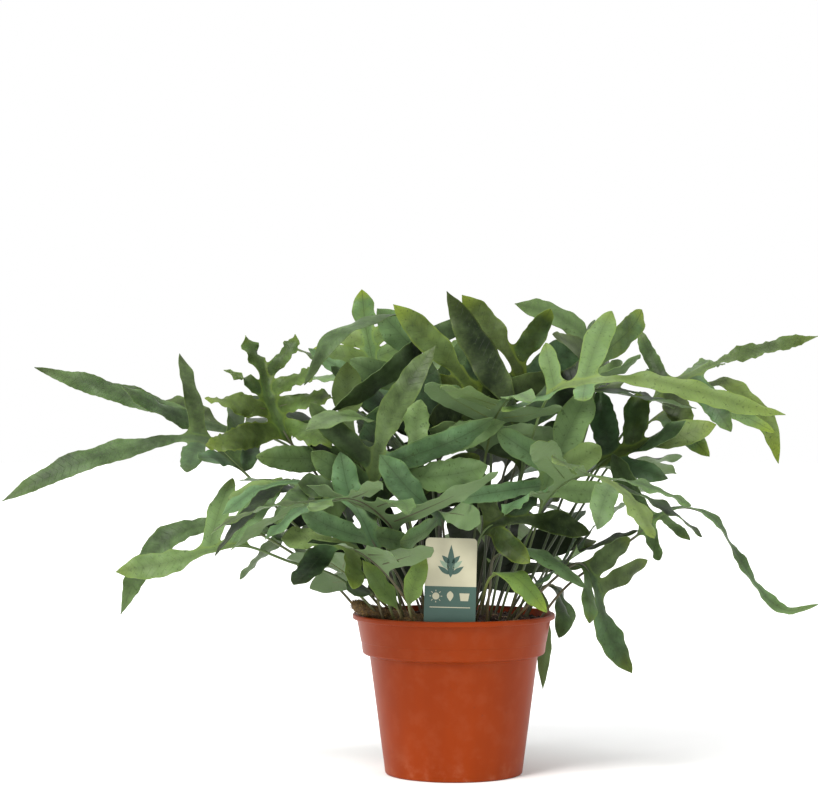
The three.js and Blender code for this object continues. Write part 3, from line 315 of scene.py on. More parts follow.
PLACED = [
    listed(
        "left_long", 180, 3, 24, (-35, -65), 1.5,
        [(-48, -20), (-100, -22, 192), (-157, -20, 242), (-201, -8, 287), (-240, 0, 314), (-312, -15, 303),
         (-367, -20, 285), (-421, -20, 256)],
        [0.05, (1, -236, -50, 297, 20, 0.1, 15), (-1, -214, 62, 350, 22, 0.1, 20)],
        [0.2, (1, -246, -54, 284, 22, 0.1, 20), (-1, -262, 52, 394, 18, 0.05, 40)],
        tone=0.42, age=0.01,
    ),
    listed(
        "left_upper", 180, 3, 21, (-48, -68), 2.5,
        [(-30, 12), (-75, 24, 215), (-130, 40, 285), (-182, 52, 317), (-224, 54, 322), (-262, 60, 338),
         (-316, 68, 355), (-405, 80, 381)],
        [0.02, (1, -196, 8, 283, 22, 0.1, 20), (-1, -190, 118, 330, 22, 0.1, -20)],
        [0.22, (1, -315, 20, 364, 23, 0.08, 25), (-1, -290, 118, 345, 20, 0.1, -20)],
        tone=0.3, age=0.01,
    ),
    listed(
        "left_low", 180, 3, 27, (-25, -65), 1,
        [(-54, -38), (-104, -50, 185), (-151, -58, 202), (-191, -65, 217), (-219, -68, 214),
         (-260, -72, 203), (-309, -75, 194)],
        [0.02, (-1, -160, -20, 278, 27, 0.05, 10)],
        [0.2, (-1, -207, -8, 277, 22, 0.05, -10)],
        tone=0.72, age=0.1,
    ),
    listed(
        "right_top", 0, 3, 16, (20, 65), 3,
        [(45, 22), (95, 34, 215), (150, 44, 300), (196, 50, 355), (250, 54, 384), (294, 60, 398),
         (352, 64, 411)],
        [0.02, (1, 182, 92, 417, 14, 0.05, 20), (-1, 222, 8, 318, 24, 0.1, 0)],
        [0.22, (1, 268, 112, 384, 20, 0.1, 10), (-1, 262, 12, 320, 22, 0.1, 10)],
        tone=0.38, age=0.06,
    ),
    listed(
        "right_front", 0, 3, 23, (30, 60), 1.5,
        [(30, -38), (46, -58, 220), (66, -72, 300), (84, -76, 352), (112, -80, 366), (168, -84, 370),
         (222, -80, 358), (262, -74, 346), (302, -66, 337)],
        [0.01, (1, 84, -42, 403, 18, 0.05, 10), (-1, 40, -132, 341, 22, 0.12, 0)],
        [0.17, (1, 147, -18, 433, 25, 0.05, 20), (-1, 112, -136, 350, 19, 0.1, 0)],
        tone=0.78, age=0.12,
    ),
    listed(
        "right_droop", 0, 3, 22, (0, 80), 1,
        [(58, 32), (105, 56, 215), (155, 80, 290), (195, 94, 330), (236, 102, 358), (268, 104, 366),
         (296, 104, 344), (312, 102, 318), (319, 100, 287)],
        [0.02, (1, 236, 178, 328, 20, 0.12, 10), (-1, 244, 34, 296, 22, 0.12, 10)],
        [0.24, (1, 296, 176, 346, 18, 0.12, 0), (-1, 310, 62, 318, 18, 0.1, 30)],
        tone=0.55, age=0.24,
    ),
    listed(
        "right_ribbon", 0, 3, 15, (10, 40), 2,
        [(70, -30), (102, -36, 176), (140, -40, 205), (172, -42, 228), (186, -46, 244), (212, -50, 252),
         (238, -56, 241), (255, -62, 214), (279, -64, 177), (303, -62, 158), (334, -58, 163)],
        [0.01, (1, 148, -14, 300, 23, 0.03, 10), (-1, 186, -80, 205, 15, 0.1, 0)],
        [0.1, (-1, 212, -92, 224, 9, 0.1, 0)],
        tone=0.4, sharpness=4,
    ),
    listed(
        "right_hang", 0, 3, 28, (30, 60), 1.5,
        [(44, -42), (76, -60, 172), (102, -64, 196), (117, -58, 200), (128, -54, 181), (139, -48, 142),
         (164, -42, 98)],
        [0.04, (1, 155, -36, 229, 22, 0.06, 0), (-1, 120, -104, 150, 18, 0.1, 20)],
        [0.12, (1, 180, -22, 201, 18, 0.1, 20)],
        tone=0.36, age=0.08,
    ),
    listed(
        "rim_right", 0, 2, 20, (35, 80), 1,
        [(62, 22), (82, 36, 168), (97, 42, 172), (106, 46, 155), (110, 48, 128)],
        [0.02, (1, 104, 84, 146, 16, 0.12, 0), (-1, 99, 6, 126, 17, 0.3, 50)],
        tone=0.4,
    ),
    listed(
        "back_hang", 50, 2, 15, (0, -40), 0.8,
        [(50, 48), (68, 80, 172), (80, 100, 176), (88, 107, 150), (90, 107, 110), (89, 103, 66)],
        tone=0.45, age=0.3,
    ),
    listed(
        "front_drape", -60, 2, 22, (0, 10), 1.5,
        [(16, -46), (25, -64, 168), (32, -86, 190), (46, -102, 195), (62, -107, 184), (82, -108, 160)],
        tone=0.72, age=0.2, young=True,
    ),
    listed(
        "front_right", -30, 2, 19, (0, 30), 1.5,
        [(28, -54), (32, -68, 180), (36, -80, 208), (60, -88, 216), (90, -90, 203), (119, -88, 180)],
        tone=0.6,
    ),
    listed(
        "trident", 90, 3, 30, (0, 10), 1,
        [(46, -28), (62, -46, 190), (74, -64, 235), (80, -76, 262), (88, -80, 288), (105, -72, 325),
         (124, -52, 360)],
        [0.01, (1, 0, -122, 262, 16, 0.1, 0), (-1, 142, -102, 268, 21, 0.08, 0)],
        [0.2, (1, 38, -100, 323, 22, 0.05, 0), (-1, 131, -92, 309, 24, 0.05, 0)],
        tone=0.85, age=0.02, sharpness=3,
    ),
    listed(
        "crisp_middle", 0, 2, 25, (60, 70), 3.5,
        [(-24, -34), (-36, -54, 215), (-47, -82, 272), (-34, -98, 298), (0, -106, 316), (44, -104, 331)],
        [0.02, (-1, 38, -122, 282, 28, 0.05, 0)],
        tone=0.75, more=1,
    ),
    listed(
        "center_dark", 90, 2, 32, (0, 5), 1,
        [(-18, -26), (-28, -44, 205), (-33, -56, 262), (-31, -60, 320), (-26, -52, 392)],
        [0.02, (1, -92, -30, 312, 24, 0.08, 0), (-1, 22, -70, 300, 24, 0.1, 0)],
        tone=0.15, sharpness=3, more=1,
    ),
    listed(
        "center_strap", 90, 2, 25, (0, -15), 1.2,
        [(-44, -40), (-58, -62, 200), (-73, -80, 262), (-66, -90, 318), (-44, -92, 362), (-18, -84, 400)],
        [0.02, (1, -130, -98, 304, 24, 0.08, 0)],
        tone=0.36, age=0.02, more=1,
    ),
    listed(
        "top_dark", 90, 2, 29, (0, 10), 1,
        [(10, -20), (44, -38, 215), (62, -50, 290), (54, -52, 340), (22, -42, 398), (-7, -28, 451)],
        [0.02, (1, 8, -66, 330, 24, 0.1, 0), (-1, 118, -42, 324, 24, 0.1, 0)],
        tone=0.18, age=0.01, more=1,
    ),
    listed(
        "top_crisp", 90, 3, 26, (0, 10), 2,
        [(24, 8), (50, 12, 220), (66, 12, 300), (70, 10, 350), (50, 10, 396), (8, 12, 449)],
        [0.02, (1, 0, 28, 372, 24, 0.1, 0), (-1, 118, 34, 404, 34, 0.3, 0)],
        tone=0.3, more=1,
    ),
    listed(
        "top_arch_left", 180, 3, 23, (0, -50), 2,
        [(-28, 2), (-32, -4, 230), (-30, -10, 330), (-26, -14, 396), (-42, -16, 428), (-80, -22, 424),
         (-114, -30, 406), (-139, -34, 364)],
        [0.06, (1, -115, -74, 339, 25, 0.25, 0), (-1, 30, 36, 429, 18, 0.1, 0)],
        tone=0.22, more=1,
    ),
    listed(
        "top_yellow", 90, 3, 22, (0, 0), 1,
        [(-24, 36), (-44, 56, 230), (-66, 74, 320), (-76, 84, 380), (-84, 90, 420), (-88, 92, 457)],
        [0.02, (1, -136, 82, 398, 20, 0.1, 0), (-1, -24, 92, 412, 20, 0.1, 0)],
        tone=0.75, age=0.3, more=1,
    ),
    listed(
        "top_right_arch", 180, 3, 26, (-30, -60), 1.5,
        [(54, -6), (92, 6, 230), (122, 14, 310), (133, 20, 358), (130, 22, 400), (102, 22, 428),
         (58, 20, 441)],
        [0.02, (1, 156, -28, 384, 22, 0.1, 0), (-1, 150, 84, 392, 22, 0.1, 0)],
        tone=0.4, more=1,
    ),
    listed(
        "left_curly", 90, 3, 20, (10, 50), 3.6,
        [(-40, 12), (-88, 10, 220), (-132, 6, 284), (-156, 4, 314), (-174, 8, 350), (-182, 16, 380),
         (-197, 22, 411)],
        [0.02, (1, -238, -30, 299, 24, 0.25, 30), (-1, -114, -46, 306, 23, 0.2, -40)],
        [0.18, (1, -232, -22, 352, 23, 0.3, 60), (-1, -112, -20, 352, 22, 0.3, -60)],
        [0.36, (1, -216, 2, 378, 17, 0.35, 100), (-1, -128, 0, 378, 20, 0.35, -80)],
        [0.54, (1, -210, -28, 330, 16, 0.6, 80), (-1, -150, 22, 412, 15, 0.3, -90)],
        tone=0.3, age=0.1, young=True,
    ),
    listed(
        "left_mid", 180, 2, 25, (-30, -50), 1,
        [(-50, -54), (-68, -74, 182), (-86, -90, 212), (-114, -100, 225), (-157, -104, 226)],
        [0.02, (1, -92, -142, 184, 20, 0.15, 0), (-1, -128, -52, 262, 24, 0.08, 0)],
        sharpness=3.2, more=1,
    ),
    listed(
        "left_wide", 180, 2, 28, (-40, -50), 1,
        [(-62, -50), (-76, -62, 190), (-84, -70, 240), (-104, -76, 268), (-143, -82, 275)],
        [0.02, (-1, -130, -26, 322, 24, 0.08, 0)],
        more=1,
    ),
    listed(
        "center_low", 180, 2, 26, (-60, -80), 1,
        [(-6, -42), (-9, -50, 200), (-12, -72, 240), (-24, -104, 254), (-44, -118, 273), (-68, -118, 302)],
        [0.02, (1, -50, -138, 226, 22, 0.08, 0), (-1, 20, -132, 246, 24, 0.08, 0)],
        tone=0.6, sharpness=3, more=1,
    ),
    listed(
        "young_left", 180, 1, 19, (-60, -60), 0.6,
        [(-44, -62), (-52, -76, 160), (-67, -88, 182), (-84, -94, 206)],
        tone=0.6, age=0.1, young=True,
    ),
    listed(
        "young_front", 0, 1, 19, (70, 70), 0.6,
        [(-32, -66), (-42, -85, 163), (-36, -95, 188), (-27, -98, 212)],
        tone=0.66, age=0.12, young=True,
    ),
    listed(
        "right_dark", 0, 2, 24, (40, 60), 2,
        [(4, -48), (14, -57, 190), (27, -80, 232), (56, -96, 242), (90, -100, 240), (122, -92, 230)],
        [0.02, (1, 16, -92, 292, 24, 0.05, 0), (-1, 66, -126, 206, 20, 0.08, 0)],
        tone=0.15, more=1,
    ),
    listed(
        "left_light", 90, 2, 28, (0, 10), 1,
        [(-54, 4), (-70, 2, 220), (-86, -4, 286), (-98, -8, 330), (-100, -10, 386)],
        [0.02, (1, -184, -30, 298, 25, 0.05, 0), (-1, -66, -66, 346, 27, 0.1, 0)],
        tone=0.8, age=0.05, more=1,
    ),
    listed(
        "front_left", 90, 2, 24, (0, 0), 1,
        [(-34, -46), (-50, -66, 186), (-72, -90, 218), (-82, -99, 240), (-96, -102, 268),
         (-104, -100, 304)],
        [0.02, (1, -138, -122, 254, 22, 0.08, 0), (-1, -26, -118, 212, 21, 0.08, 0)],
        sharpness=3, more=1,
    ),
    listed(
        "center_strap_back", 90, 3, 25, (0, 0), 1,
        [(26, -12), (30, -20, 230), (34, -28, 300), (26, -34, 340), (8, -40, 370), (-20, -44, 402),
         (-57, -46, 438)],
        [0.02, (1, -30, -66, 330, 24, 0.1, 0), (-1, 110, -20, 372, 24, 0.1, 0)],
        tone=0.2, more=1,
    ),
    listed(
        "top_center", 90, 3, 29, (0, 0), 1.2,
        [(-10, 14), (-12, 12, 230), (-14, 8, 310), (-16, 6, 350), (-34, 8, 392), (-72, 6, 436)],
        [0.02, (1, -98, 16, 388, 26, 0.1, 0), (-1, 36, 22, 430, 26, 0.1, 0)],
        more=1,
    ),
    listed(
        "right_mass", 0, 3, 26, (30, 65), 1.5,
        [(64, 10), (96, 12, 205), (120, 10, 262), (138, 8, 290), (174, 4, 306), (212, 0, 317),
         (246, -4, 327)],
        [0.03, (1, 138, 36, 358, 27, 0.05, 0), (-1, 176, -36, 292, 22, 0.1, 0)],
        [0.27, (1, 178, 30, 358, 26, 0.05, 0), (-1, 212, -44, 316, 20, 0.1, 0)],
        tone=0.42, sharpness=3,
    ),
    listed(
        "back_low", 0, 1, 30, (50, 65), 1,
        [(16, 44), (26, 66, 168), (50, 82, 192), (84, 92, 208), (126, 96, 214)],
        [0.02, (1, 4, 104, 246, 28, 0.05, 0), (-1, 70, 60, 172, 24, 0.05, 0)],
        [0.3, (1, 62, 110, 256, 28, 0.05, 0), (-1, 104, 76, 180, 24, 0.05, 0)],
        tone=0.1, sharpness=3,
    ),
    listed(
        "back_left", 180, 1, 28, (-50, -65), 1,
        [(-22, 46), (-36, 64, 166), (-60, 76, 188), (-92, 80, 202), (-130, 80, 206)],
        [0.02, (-1, -20, 96, 240, 28, 0.05, 0), (1, -82, 50, 166, 24, 0.05, 0)],
        [0.3, (-1, -72, 100, 250, 27, 0.05, 0)],
        tone=0.1, sharpness=3,
    ),
    listed(
        "left_fall", 180, 3, 25, (-40, -75), 2,
        [(-74, -12), (-112, -18, 178), (-156, -24, 210), (-200, -22, 232), (-237, -20, 231),
         (-268, -18, 219), (-293, -16, 190), (-311, -14, 150)],
        tone=0.3, age=0.01,
    ),
]

# Fronds that are drawn by chance, from the crown to the skirt
TIERS = [
    dict(
        name="crown", count=7, turn=20, foot=[6, 36], lean=[6, 26], bend=[45, 115], stalk=[140, 190],
        blade=[130, 180], pairs=[3, 4],
    ),
    dict(
        name="middle", count=7, turn=95, foot=[28, 62], lean=[26, 46], bend=[60, 120], stalk=[110, 170],
        blade=[130, 190], pairs=[3, 4],
    ),
    dict(
        name="skirt", count=5, turn=50, foot=[50, 70], lean=[44, 62], bend=[20, 70], stalk=[46, 90],
        blade=[100, 150], pairs=[2, 3],
    ),
]
# The stretches of a drawn frond: the share of its stalk, of its blade, of its lean and of its bend
STRETCHES = [(0.4, 0, 0.75, 0), (0.6, 0, 1, 0), (0, 0.35, 1, 0.3), (0, 0.35, 1, 0.7), (0, 0.3, 1, 1)]


def stray_of(attempt, tries):
    return min(1, (2 * attempt) / tries)


def round_half_up(value):
    return math.floor(value + 0.5)


def drawn_pair(seeds, pair, blade, frond):
    """A pair of lobes whose places and sizes are drawn by chance."""
    def lobe(side, attempt):
        draw = random_from(*seeds, 2 * pair + side, attempt)
        shrink = 1 - 0.5 * stray_of(attempt, LOBE_TRIES)
        return dict(
            side=side,
            width=frond["width"] * draw(0.8, 1),
            length=blade * draw(*LOBE_LENGTH) * shrink,
            angle=72 - 12 * pair + draw(-14, 14),
            lift=draw(-0.3, 0.4),
            droop=draw(0, 0.35),
            bow=draw(-0.05, 0.18),
            twist=draw(-40, 40),
            phase=draw(*WAVE_PHASE),
        )

    at = FIRST_PAIR + LOBE_PITCH * pair
    return dict(at=at, width=frond["width"], lobes=[partial(lobe, 1), partial(lobe, -1)])


def placed_frond(entry, index, attempt):
    """A frond of the list. Its first try stands exactly as listed, and later ones stray further."""
    draw = random_from(index, attempt)
    stray = stray_of(attempt, SPINE_TRIES)
    foot = entry["path"][0]
    yaw = math.radians(draw(-SPINE_YAW, SPINE_YAW) * stray)
    rise = 1 + draw(-SPINE_RISE, SPINE_RISE) * stray

    def moved(x, y, z=FOOT_HEIGHT):
        return [
            foot[0] + (x - foot[0]) * math.cos(yaw) - (y - foot[1]) * math.sin(yaw),
            foot[1] + (x - foot[0]) * math.sin(yaw) + (y - foot[1]) * math.cos(yaw),
            FOOT_HEIGHT + (z - FOOT_HEIGHT) * rise,
        ]

    def lobe(order, side, x, y, z, width, bow, twist, lobe_attempt):
        draw_lobe = random_from(index, order, lobe_attempt)
        room = LOBE_STRAY * stray_of(lobe_attempt, LOBE_TRIES)
        tip = [value + draw_lobe(-room, room) for value in moved(x, y, z)]
        return dict(side=side, tip=tip, width=width, bow=bow, twist=twist, phase=draw_lobe(*WAVE_PHASE))

    path = [moved(*point) for point in entry["path"]]
    stations = []
    for order, (at, *lobes) in enumerate(entry["lobes"]):
        makers = [partial(lobe, 2 * order + i, *sizes) for i, sizes in enumerate(lobes)]
        stations.append(dict(at=at, width=max(sizes[4] for sizes in lobes), lobes=makers))
    blade = sum(math.dist(a, b) for a, b in zip(path[entry["knee"]:], path[entry["knee"] + 1:]))
    for pair in range(len(stations), len(stations) + entry.get("more", 0)):
        stations.append(drawn_pair([index], pair, blade, entry))
    return dict(entry, phase=draw(*WAVE_PHASE), path=path, stations=stations)


def grown_frond(tier, number, attempt):
    """A frond of a tier, drawn from its ranges."""
    seeds = [FIRST_TIER_SEED + TIERS.index(tier), number]
    draw = random_from(*seeds, attempt)
    heading = tier["turn"] + number * GOLDEN_ANGLE + draw(-25, 25)
    foot_angle = math.radians(heading + draw(-18, 18))
    foot_radius = draw(*tier["foot"])
    stalk = draw(*tier["stalk"])
    blade = draw(*tier["blade"])
    lean = draw(*tier["lean"])
    bend = draw(*tier["bend"])
    drift = draw(-14, 14)
    path = [[foot_radius * math.cos(foot_angle), foot_radius * math.sin(foot_angle), FOOT_HEIGHT]]
    for i, (of_stalk, of_blade, of_lean, of_bend) in enumerate(STRETCHES):
        x, y, z = path[-1]
        length = stalk * of_stalk + blade * of_blade
        from_vertical = math.radians(lean * of_lean + bend * of_bend)
        out = length * math.sin(from_vertical)
        way = math.radians(heading + (drift * i) / 4)
        path.append([x + out * math.cos(way), y + out * math.sin(way), z + length * math.cos(from_vertical)])
    pairs = round_half_up(draw(tier["pairs"][0] - 0.4, tier["pairs"][1] + 0.4))
    frond = dict(
        name=f"frond_{tier['name']}_{number + 1}", path=path, knee=2, heading=heading,
        width=draw(*BLADE_WIDTH), sharpness=draw(*SHARPNESS), wave=draw(*WAVE),
    )
    turn = draw(-25, 25)
    stations = [drawn_pair(seeds, pair, blade, frond) for pair in range(pairs)]
    return dict(frond, roll=[turn * 0.4, turn], phase=draw(*WAVE_PHASE), stations=stations)


# Where each frond and lobe stands in the CAD model

def lobe_shape(share, root, sharpness, roundness=1):
    """How wide a lobe is at a share of its length. A roundness under 1 gives it a fuller, rounder tip."""
    belly = root + (1 - root) * smooth(share / BELLY)
    taper = 1 if share < TAPER else 1 - ((share - TAPER) / (1 - TAPER)) ** sharpness
    return belly * taper ** roundness


def wave_at(share, count, phase):
    fade = math.sqrt(max(0, math.sin(math.pi * share)))
    return fade * math.cos(math.pi * count * share + phase)


def corner_tree(node):
    corners = [vertex.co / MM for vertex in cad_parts[node].data.vertices]
    tree = kdtree.KDTree(len(corners))
    for i, corner in enumerate(corners):
        tree.insert(corner, i)
    tree.balance()
    return tree


def has_tip(tree, point, blade_frame):
    """Whether the CAD model has the corners of a tip that ends at a point."""
    _, left, up = blade_frame
    for side in (1, -1):
        if tree.find(point + left * TIP_HALF * side + up * BLADE_HALF)[2] > CORNER_MATCH:
            return False
    return True


def wing_half(line, distance):
    return WING_HALF * (WING_START + (1 - WING_START) * smooth((distance - line.knee) / WING_GROWTH))


def lay_stations(frond, line, tree):
    """Where each pair of lobes stands on the rib, and which of its lobes the CAD model holds."""
    reach = line.knee
    stations = []
    for station in frond["stations"]:
        base = station["width"] * LOBE_BASE
        middle = max(line.knee + station["at"] * line.blade, reach + base / 2 + PAIR_GAP)
        reach = middle + base / 2
        laid = dict(middle=middle, base=base, lobes=[])
        for make_lobe in station["lobes"]:
            for attempt in range(LOBE_TRIES):
                lobe = lay_lobe(make_lobe(attempt), line, laid)
                if has_tip(tree, lobe["curve"][2], lobe["frame"](1)):
                    laid["lobes"].append(lobe)
                    break
        stations.append(laid)
    return stations, reach


def lay_lobe(lobe, line, station):
    forward, left, up = line.frame(station["middle"])
    edges = []
    for sign in (-1, 1):
        distance = station["middle"] + sign * station["base"] / 2
        _, across, _ = line.frame(distance)
        edges.append(line.point(distance) + across * lobe["side"] * wing_half(line, distance))
    start = (edges[0] + edges[1]) / 2
    if "tip" in lobe:
        tip = np.array(lobe["tip"], float)
    else:
        angle = math.radians(lobe["angle"])
        tip = start + forward * math.cos(angle) * lobe["length"]
        tip = tip + left * lobe["side"] * math.sin(angle) * lobe["length"]
        tip = tip + up * lobe["lift"] * lobe["length"]
        tip[2] -= lobe["droop"] * lobe["length"]
    length = np.linalg.norm(tip - start)
    bulge = (start + tip) / 2 + up * lobe["bow"] * length + left * LOBE_SWEEP * lobe["side"] * length
    curve = [start, bulge, tip]

    def frame_at(share):
        way = direction(bezier, curve, share)
        return turned_frame(way, np.cross(up, way), lobe["twist"] * share)

    count = max(LEAST_SEGMENTS["side"], round_half_up(length / SEGMENT))
    return dict(lobe, curve=curve, frame=frame_at, length=length, count=count)


def standing_frond(maker):
    """The try at a frond that the CAD model holds, with its line, its stations and the last one's end."""
    name = maker(0)["name"]
    tree = corner_tree(name)
    for attempt in range(SPINE_TRIES):
        frond = maker(attempt)
        points = np.array(frond["path"], float)
        across = across_heading(frond["heading"])
        tip = turned_frame(direction(catmull, points, 1), across, frond["roll"][1])
        if has_tip(tree, points[-1], tip):
            line = Line(frond)
            return frond, line, *lay_stations(frond, line, tree)
    raise RuntimeError(f"{name} isn't found in the CAD model")


# Meshes

def stand(name, data):
    """An object of the scene that holds a mesh, a light or a camera."""
    holder = bpy.data.objects.new(name, data)
    bpy.context.scene.collection.objects.link(holder)
    return holder


def new_piece(node, mesh, materials, crease):
    """A piece that rides on the root in a CAD node's place, creased where its faces meet at more degrees."""
    for material in materials:
        mesh.materials.append(material)
    mesh.polygons.foreach_set("use_smooth", [True] * len(mesh.polygons))
    mesh.set_sharp_from_angle(angle=math.radians(crease))
    mesh.update()
    piece = stand(f"{node}_dressed", mesh)
    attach(piece, "root")
    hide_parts(node)


class Body:
    """Points, faces, marks and material indices that grow into one mesh. Marks are four numbers a point."""

    def __init__(self):
        self.points = []
        self.faces = []
        self.indices = []
        self.marks = dict(shape=[], tone=[])

    def point(self, place, tone=(0.5, 0, 0, 0), shape=(0, 0, 0, 1)):
        self.points.append(place)
        self.marks["shape"].append(shape)
        self.marks["tone"].append(tone)
        return len(self.points) - 1

    def face(self, corners, index=0):
        self.faces.append(tuple(corners))
        self.indices.append(index)

    def skin(self, rings, index=0, flipped=False):
        """Faces from each ring of point numbers to the next."""
        for a, b in zip(rings, rings[1:]):
            for (a0, a1), (b0, b1) in zip(around(a), around(b)):
                self.face((a0, b0, b1, a1) if flipped else (a0, a1, b1, b0), index)

    def tube(self, rings, index=0, flipped=False):
        """Skins rings into a tube with its ends capped."""
        self.skin(rings, index, flipped)
        first, last = (rings[-1], rings[0]) if flipped else (rings[0], rings[-1])
        self.face(reversed(first), index)
        self.face(last, index)

    def fan(self, place, ring, flipped=False):
        """Faces from a ring of point numbers to a point amid it."""
        middle = self.point(place)
        for a, b in around(ring):
            self.face((middle, b, a) if flipped else (middle, a, b))

    def mesh(self, name, *marks):
        mesh = bpy.data.meshes.new(name)
        mesh.from_pydata((np.asarray(self.points, float) * MM).tolist(), [], self.faces)
        mesh.polygons.foreach_set("material_index", self.indices)
        for mark in marks:
            layer = mesh.attributes.new(mark, "FLOAT_COLOR", "POINT")
            layer.data.foreach_set("color", np.asarray(self.marks[mark], np.float32).ravel())
        mesh.update()
        return mesh


def ring_points(centre, left, up, radius, sides):
    for x, y in circle(1, sides):
        yield centre + left * radius * x + up * radius * y


# Frond surfaces

class Sheet:
    """A frond's middle surface, one layer of faces, before it is given its thickness."""

    def __init__(self, frond):
        self.frond = frond
        self.points = []
        self.marks = []
        self.faces = []
        self.corners = []

    def row(self, centre, blade_frame, half, wave, along, share, look, sag):
        """A row of points across a blade or lobe."""
        _, left, up = blade_frame
        numbers = []
        for u in COLUMNS:
            side = 1 if u > 0 else -1
            place = centre + left * u * half * (1 + u * (SCALLOP * wave))
            height = u * abs(u) ** 0.6 * (self.frond["wave"] * wave)
            height -= sag * half * abs(u) ** 1.7
            ruffle = math.sin(2 * math.pi * along / look["pitch"] + look["turn"] * side + side)
            height += look["ruffle"] * min(1, half / RUFFLED_HALF) * ruffle * abs(u) ** 3
            if u == 0:
                height -= GROOVE * min(1, half / GROOVED_HALF)
            if abs(u) == 1:
                tooth = look["tooth"] * math.sin(2 * math.pi * along / look["tooth_pitch"] + 2 * side)
                place = place + left * side * tooth * min(1, half / RUFFLED_HALF)
            self.points.append(place + up * height)
            shape = (abs(u), abs(u) * half / ACROSS_SPAN, along / ALONG_SPAN)
            self.marks.append(((look["tone"], look["age"], look["chance"], share), shape))
            numbers.append(len(self.points) - 1)
        return numbers

    def skin(self, a, b):
        for j in range(len(a) - 1):
            self.faces.append((a[j], b[j], b[j + 1], a[j + 1]))

    def rounded(self):
        """Rounds the margin between each lobe and its wing, and eases the surface around it."""
        points = np.array(self.points)
        edges = Counter(tuple(sorted(edge)) for face in self.faces for edge in around(face))
        weight = np.zeros(len(points))
        for corner in self.corners:
            away = np.linalg.norm(points - points[corner], axis=1)
            near = np.clip(1 - away / FILLET, 0, 1)
            weight = np.maximum(weight, near * near * (3 - 2 * near))
        rim = {point for edge, uses in edges.items() if uses == 1 for point in edge}
        pairs = []
        for (a, b), uses in edges.items():
            pairs += [pair for pair in ((a, b), (b, a)) if pair[0] not in rim or uses == 1]
        pairs = np.array(pairs)
        count = np.bincount(pairs[:, 0], minlength=len(points))[:, None]
        for _ in range(FILLET_PASSES):
            total = np.zeros_like(points)
            np.add.at(total, pairs[:, 0], points[pairs[:, 1]])
            middle = np.where(count > 0, total / np.maximum(count, 1), points)
            points = points + (middle - points) * (FILLET_PULL * weight)[:, None]
        return points, edges

    def thicken(self, body):
        """Adds the closed blade to a body: its upper and lower face, and the margin between them."""
        points, edges = self.rounded()
        faces = np.array(self.faces)
        a, b, c, d = (points[faces[:, i]] for i in range(4))
        flat = np.cross(c - a, d - b)
        normals = np.zeros_like(points)
        for i in range(4):
            np.add.at(normals, faces[:, i], flat)
        normals /= np.maximum(np.linalg.norm(normals, axis=1), 1e-9)[:, None]
        upper, lower = [], []
        for place, normal, (tone, shape) in zip(points, normals, self.marks):
            half = BLADE_MARGIN_HALF + (BLADE_MIDDLE_HALF - BLADE_MARGIN_HALF) * (1 - shape[0] ** 2)
            upper.append(body.point(place + normal * half, tone, (*shape, 1)))
            lower.append(body.point(place - normal * half, tone, (*shape, 0)))
        for face in self.faces:
            body.face(upper[i] for i in face)
            body.face(lower[i] for i in reversed(face))
        for face in self.faces:
            for a, b in around(face):
                if edges[tuple(sorted((a, b)))] == 1:
                    body.face((upper[b], upper[a], lower[a], lower[b]))


def look_of(frond, order, lobe=0):
    """How one blade or lobe varies: its colour, its age and the run of its margin."""
    draw = random_from(7, order, lobe)
    age = frond.get("age") or max(0, draw(-0.9, 0.3))
    crisp = max(0, frond["wave"] - 2)
    return dict(
        tone=frond.get("tone", draw(0, 0.9)) + draw(-0.12, 0.12),
        age=age,
        chance=draw(0, 1),
        pitch=draw(*RUFFLE_PITCH) / (1 + 0.4 * crisp),
        turn=draw(0, 6),
        ruffle=draw(0.4, 1.1) + 0.5 * crisp,
        tooth=draw(0.1, 0.45) + 0.25 * crisp,
        tooth_pitch=draw(*TOOTH_PITCH) / (1 + 0.3 * crisp),
        sag=draw(-0.1, 0.16),
    )


def spaced(low, high, step):
    """Numbers from low to high, evenly spaced, without low itself."""
    count = max(1, math.ceil((high - low) / step))
    return [low + (high - low) * i / count for i in range(1, count + 1)]


def blade_rows(frond, line, stations, reach):
    """Distances of the rows of faces along a frond's blade, and the first row of each pair of lobes."""
    rows = [line.knee - (WING_LEAD if stations else PLAIN_LEAD)]
    starts = []
    for station in stations:
        marks = [station["middle"] + u * station["base"] / 2 for u in COLUMNS]
        rows += spaced(rows[-1], marks[0], ROW)
        starts.append(len(rows) - 1)
        rows += marks[1:]
    if not stations:
        rows.append(line.knee)
    rest = line.total - reach
    rows += spaced(rows[-1], reach + rest * ROWS_END, ROW)
    return rows + [reach + rest * share for share in TIP_ROWS], starts


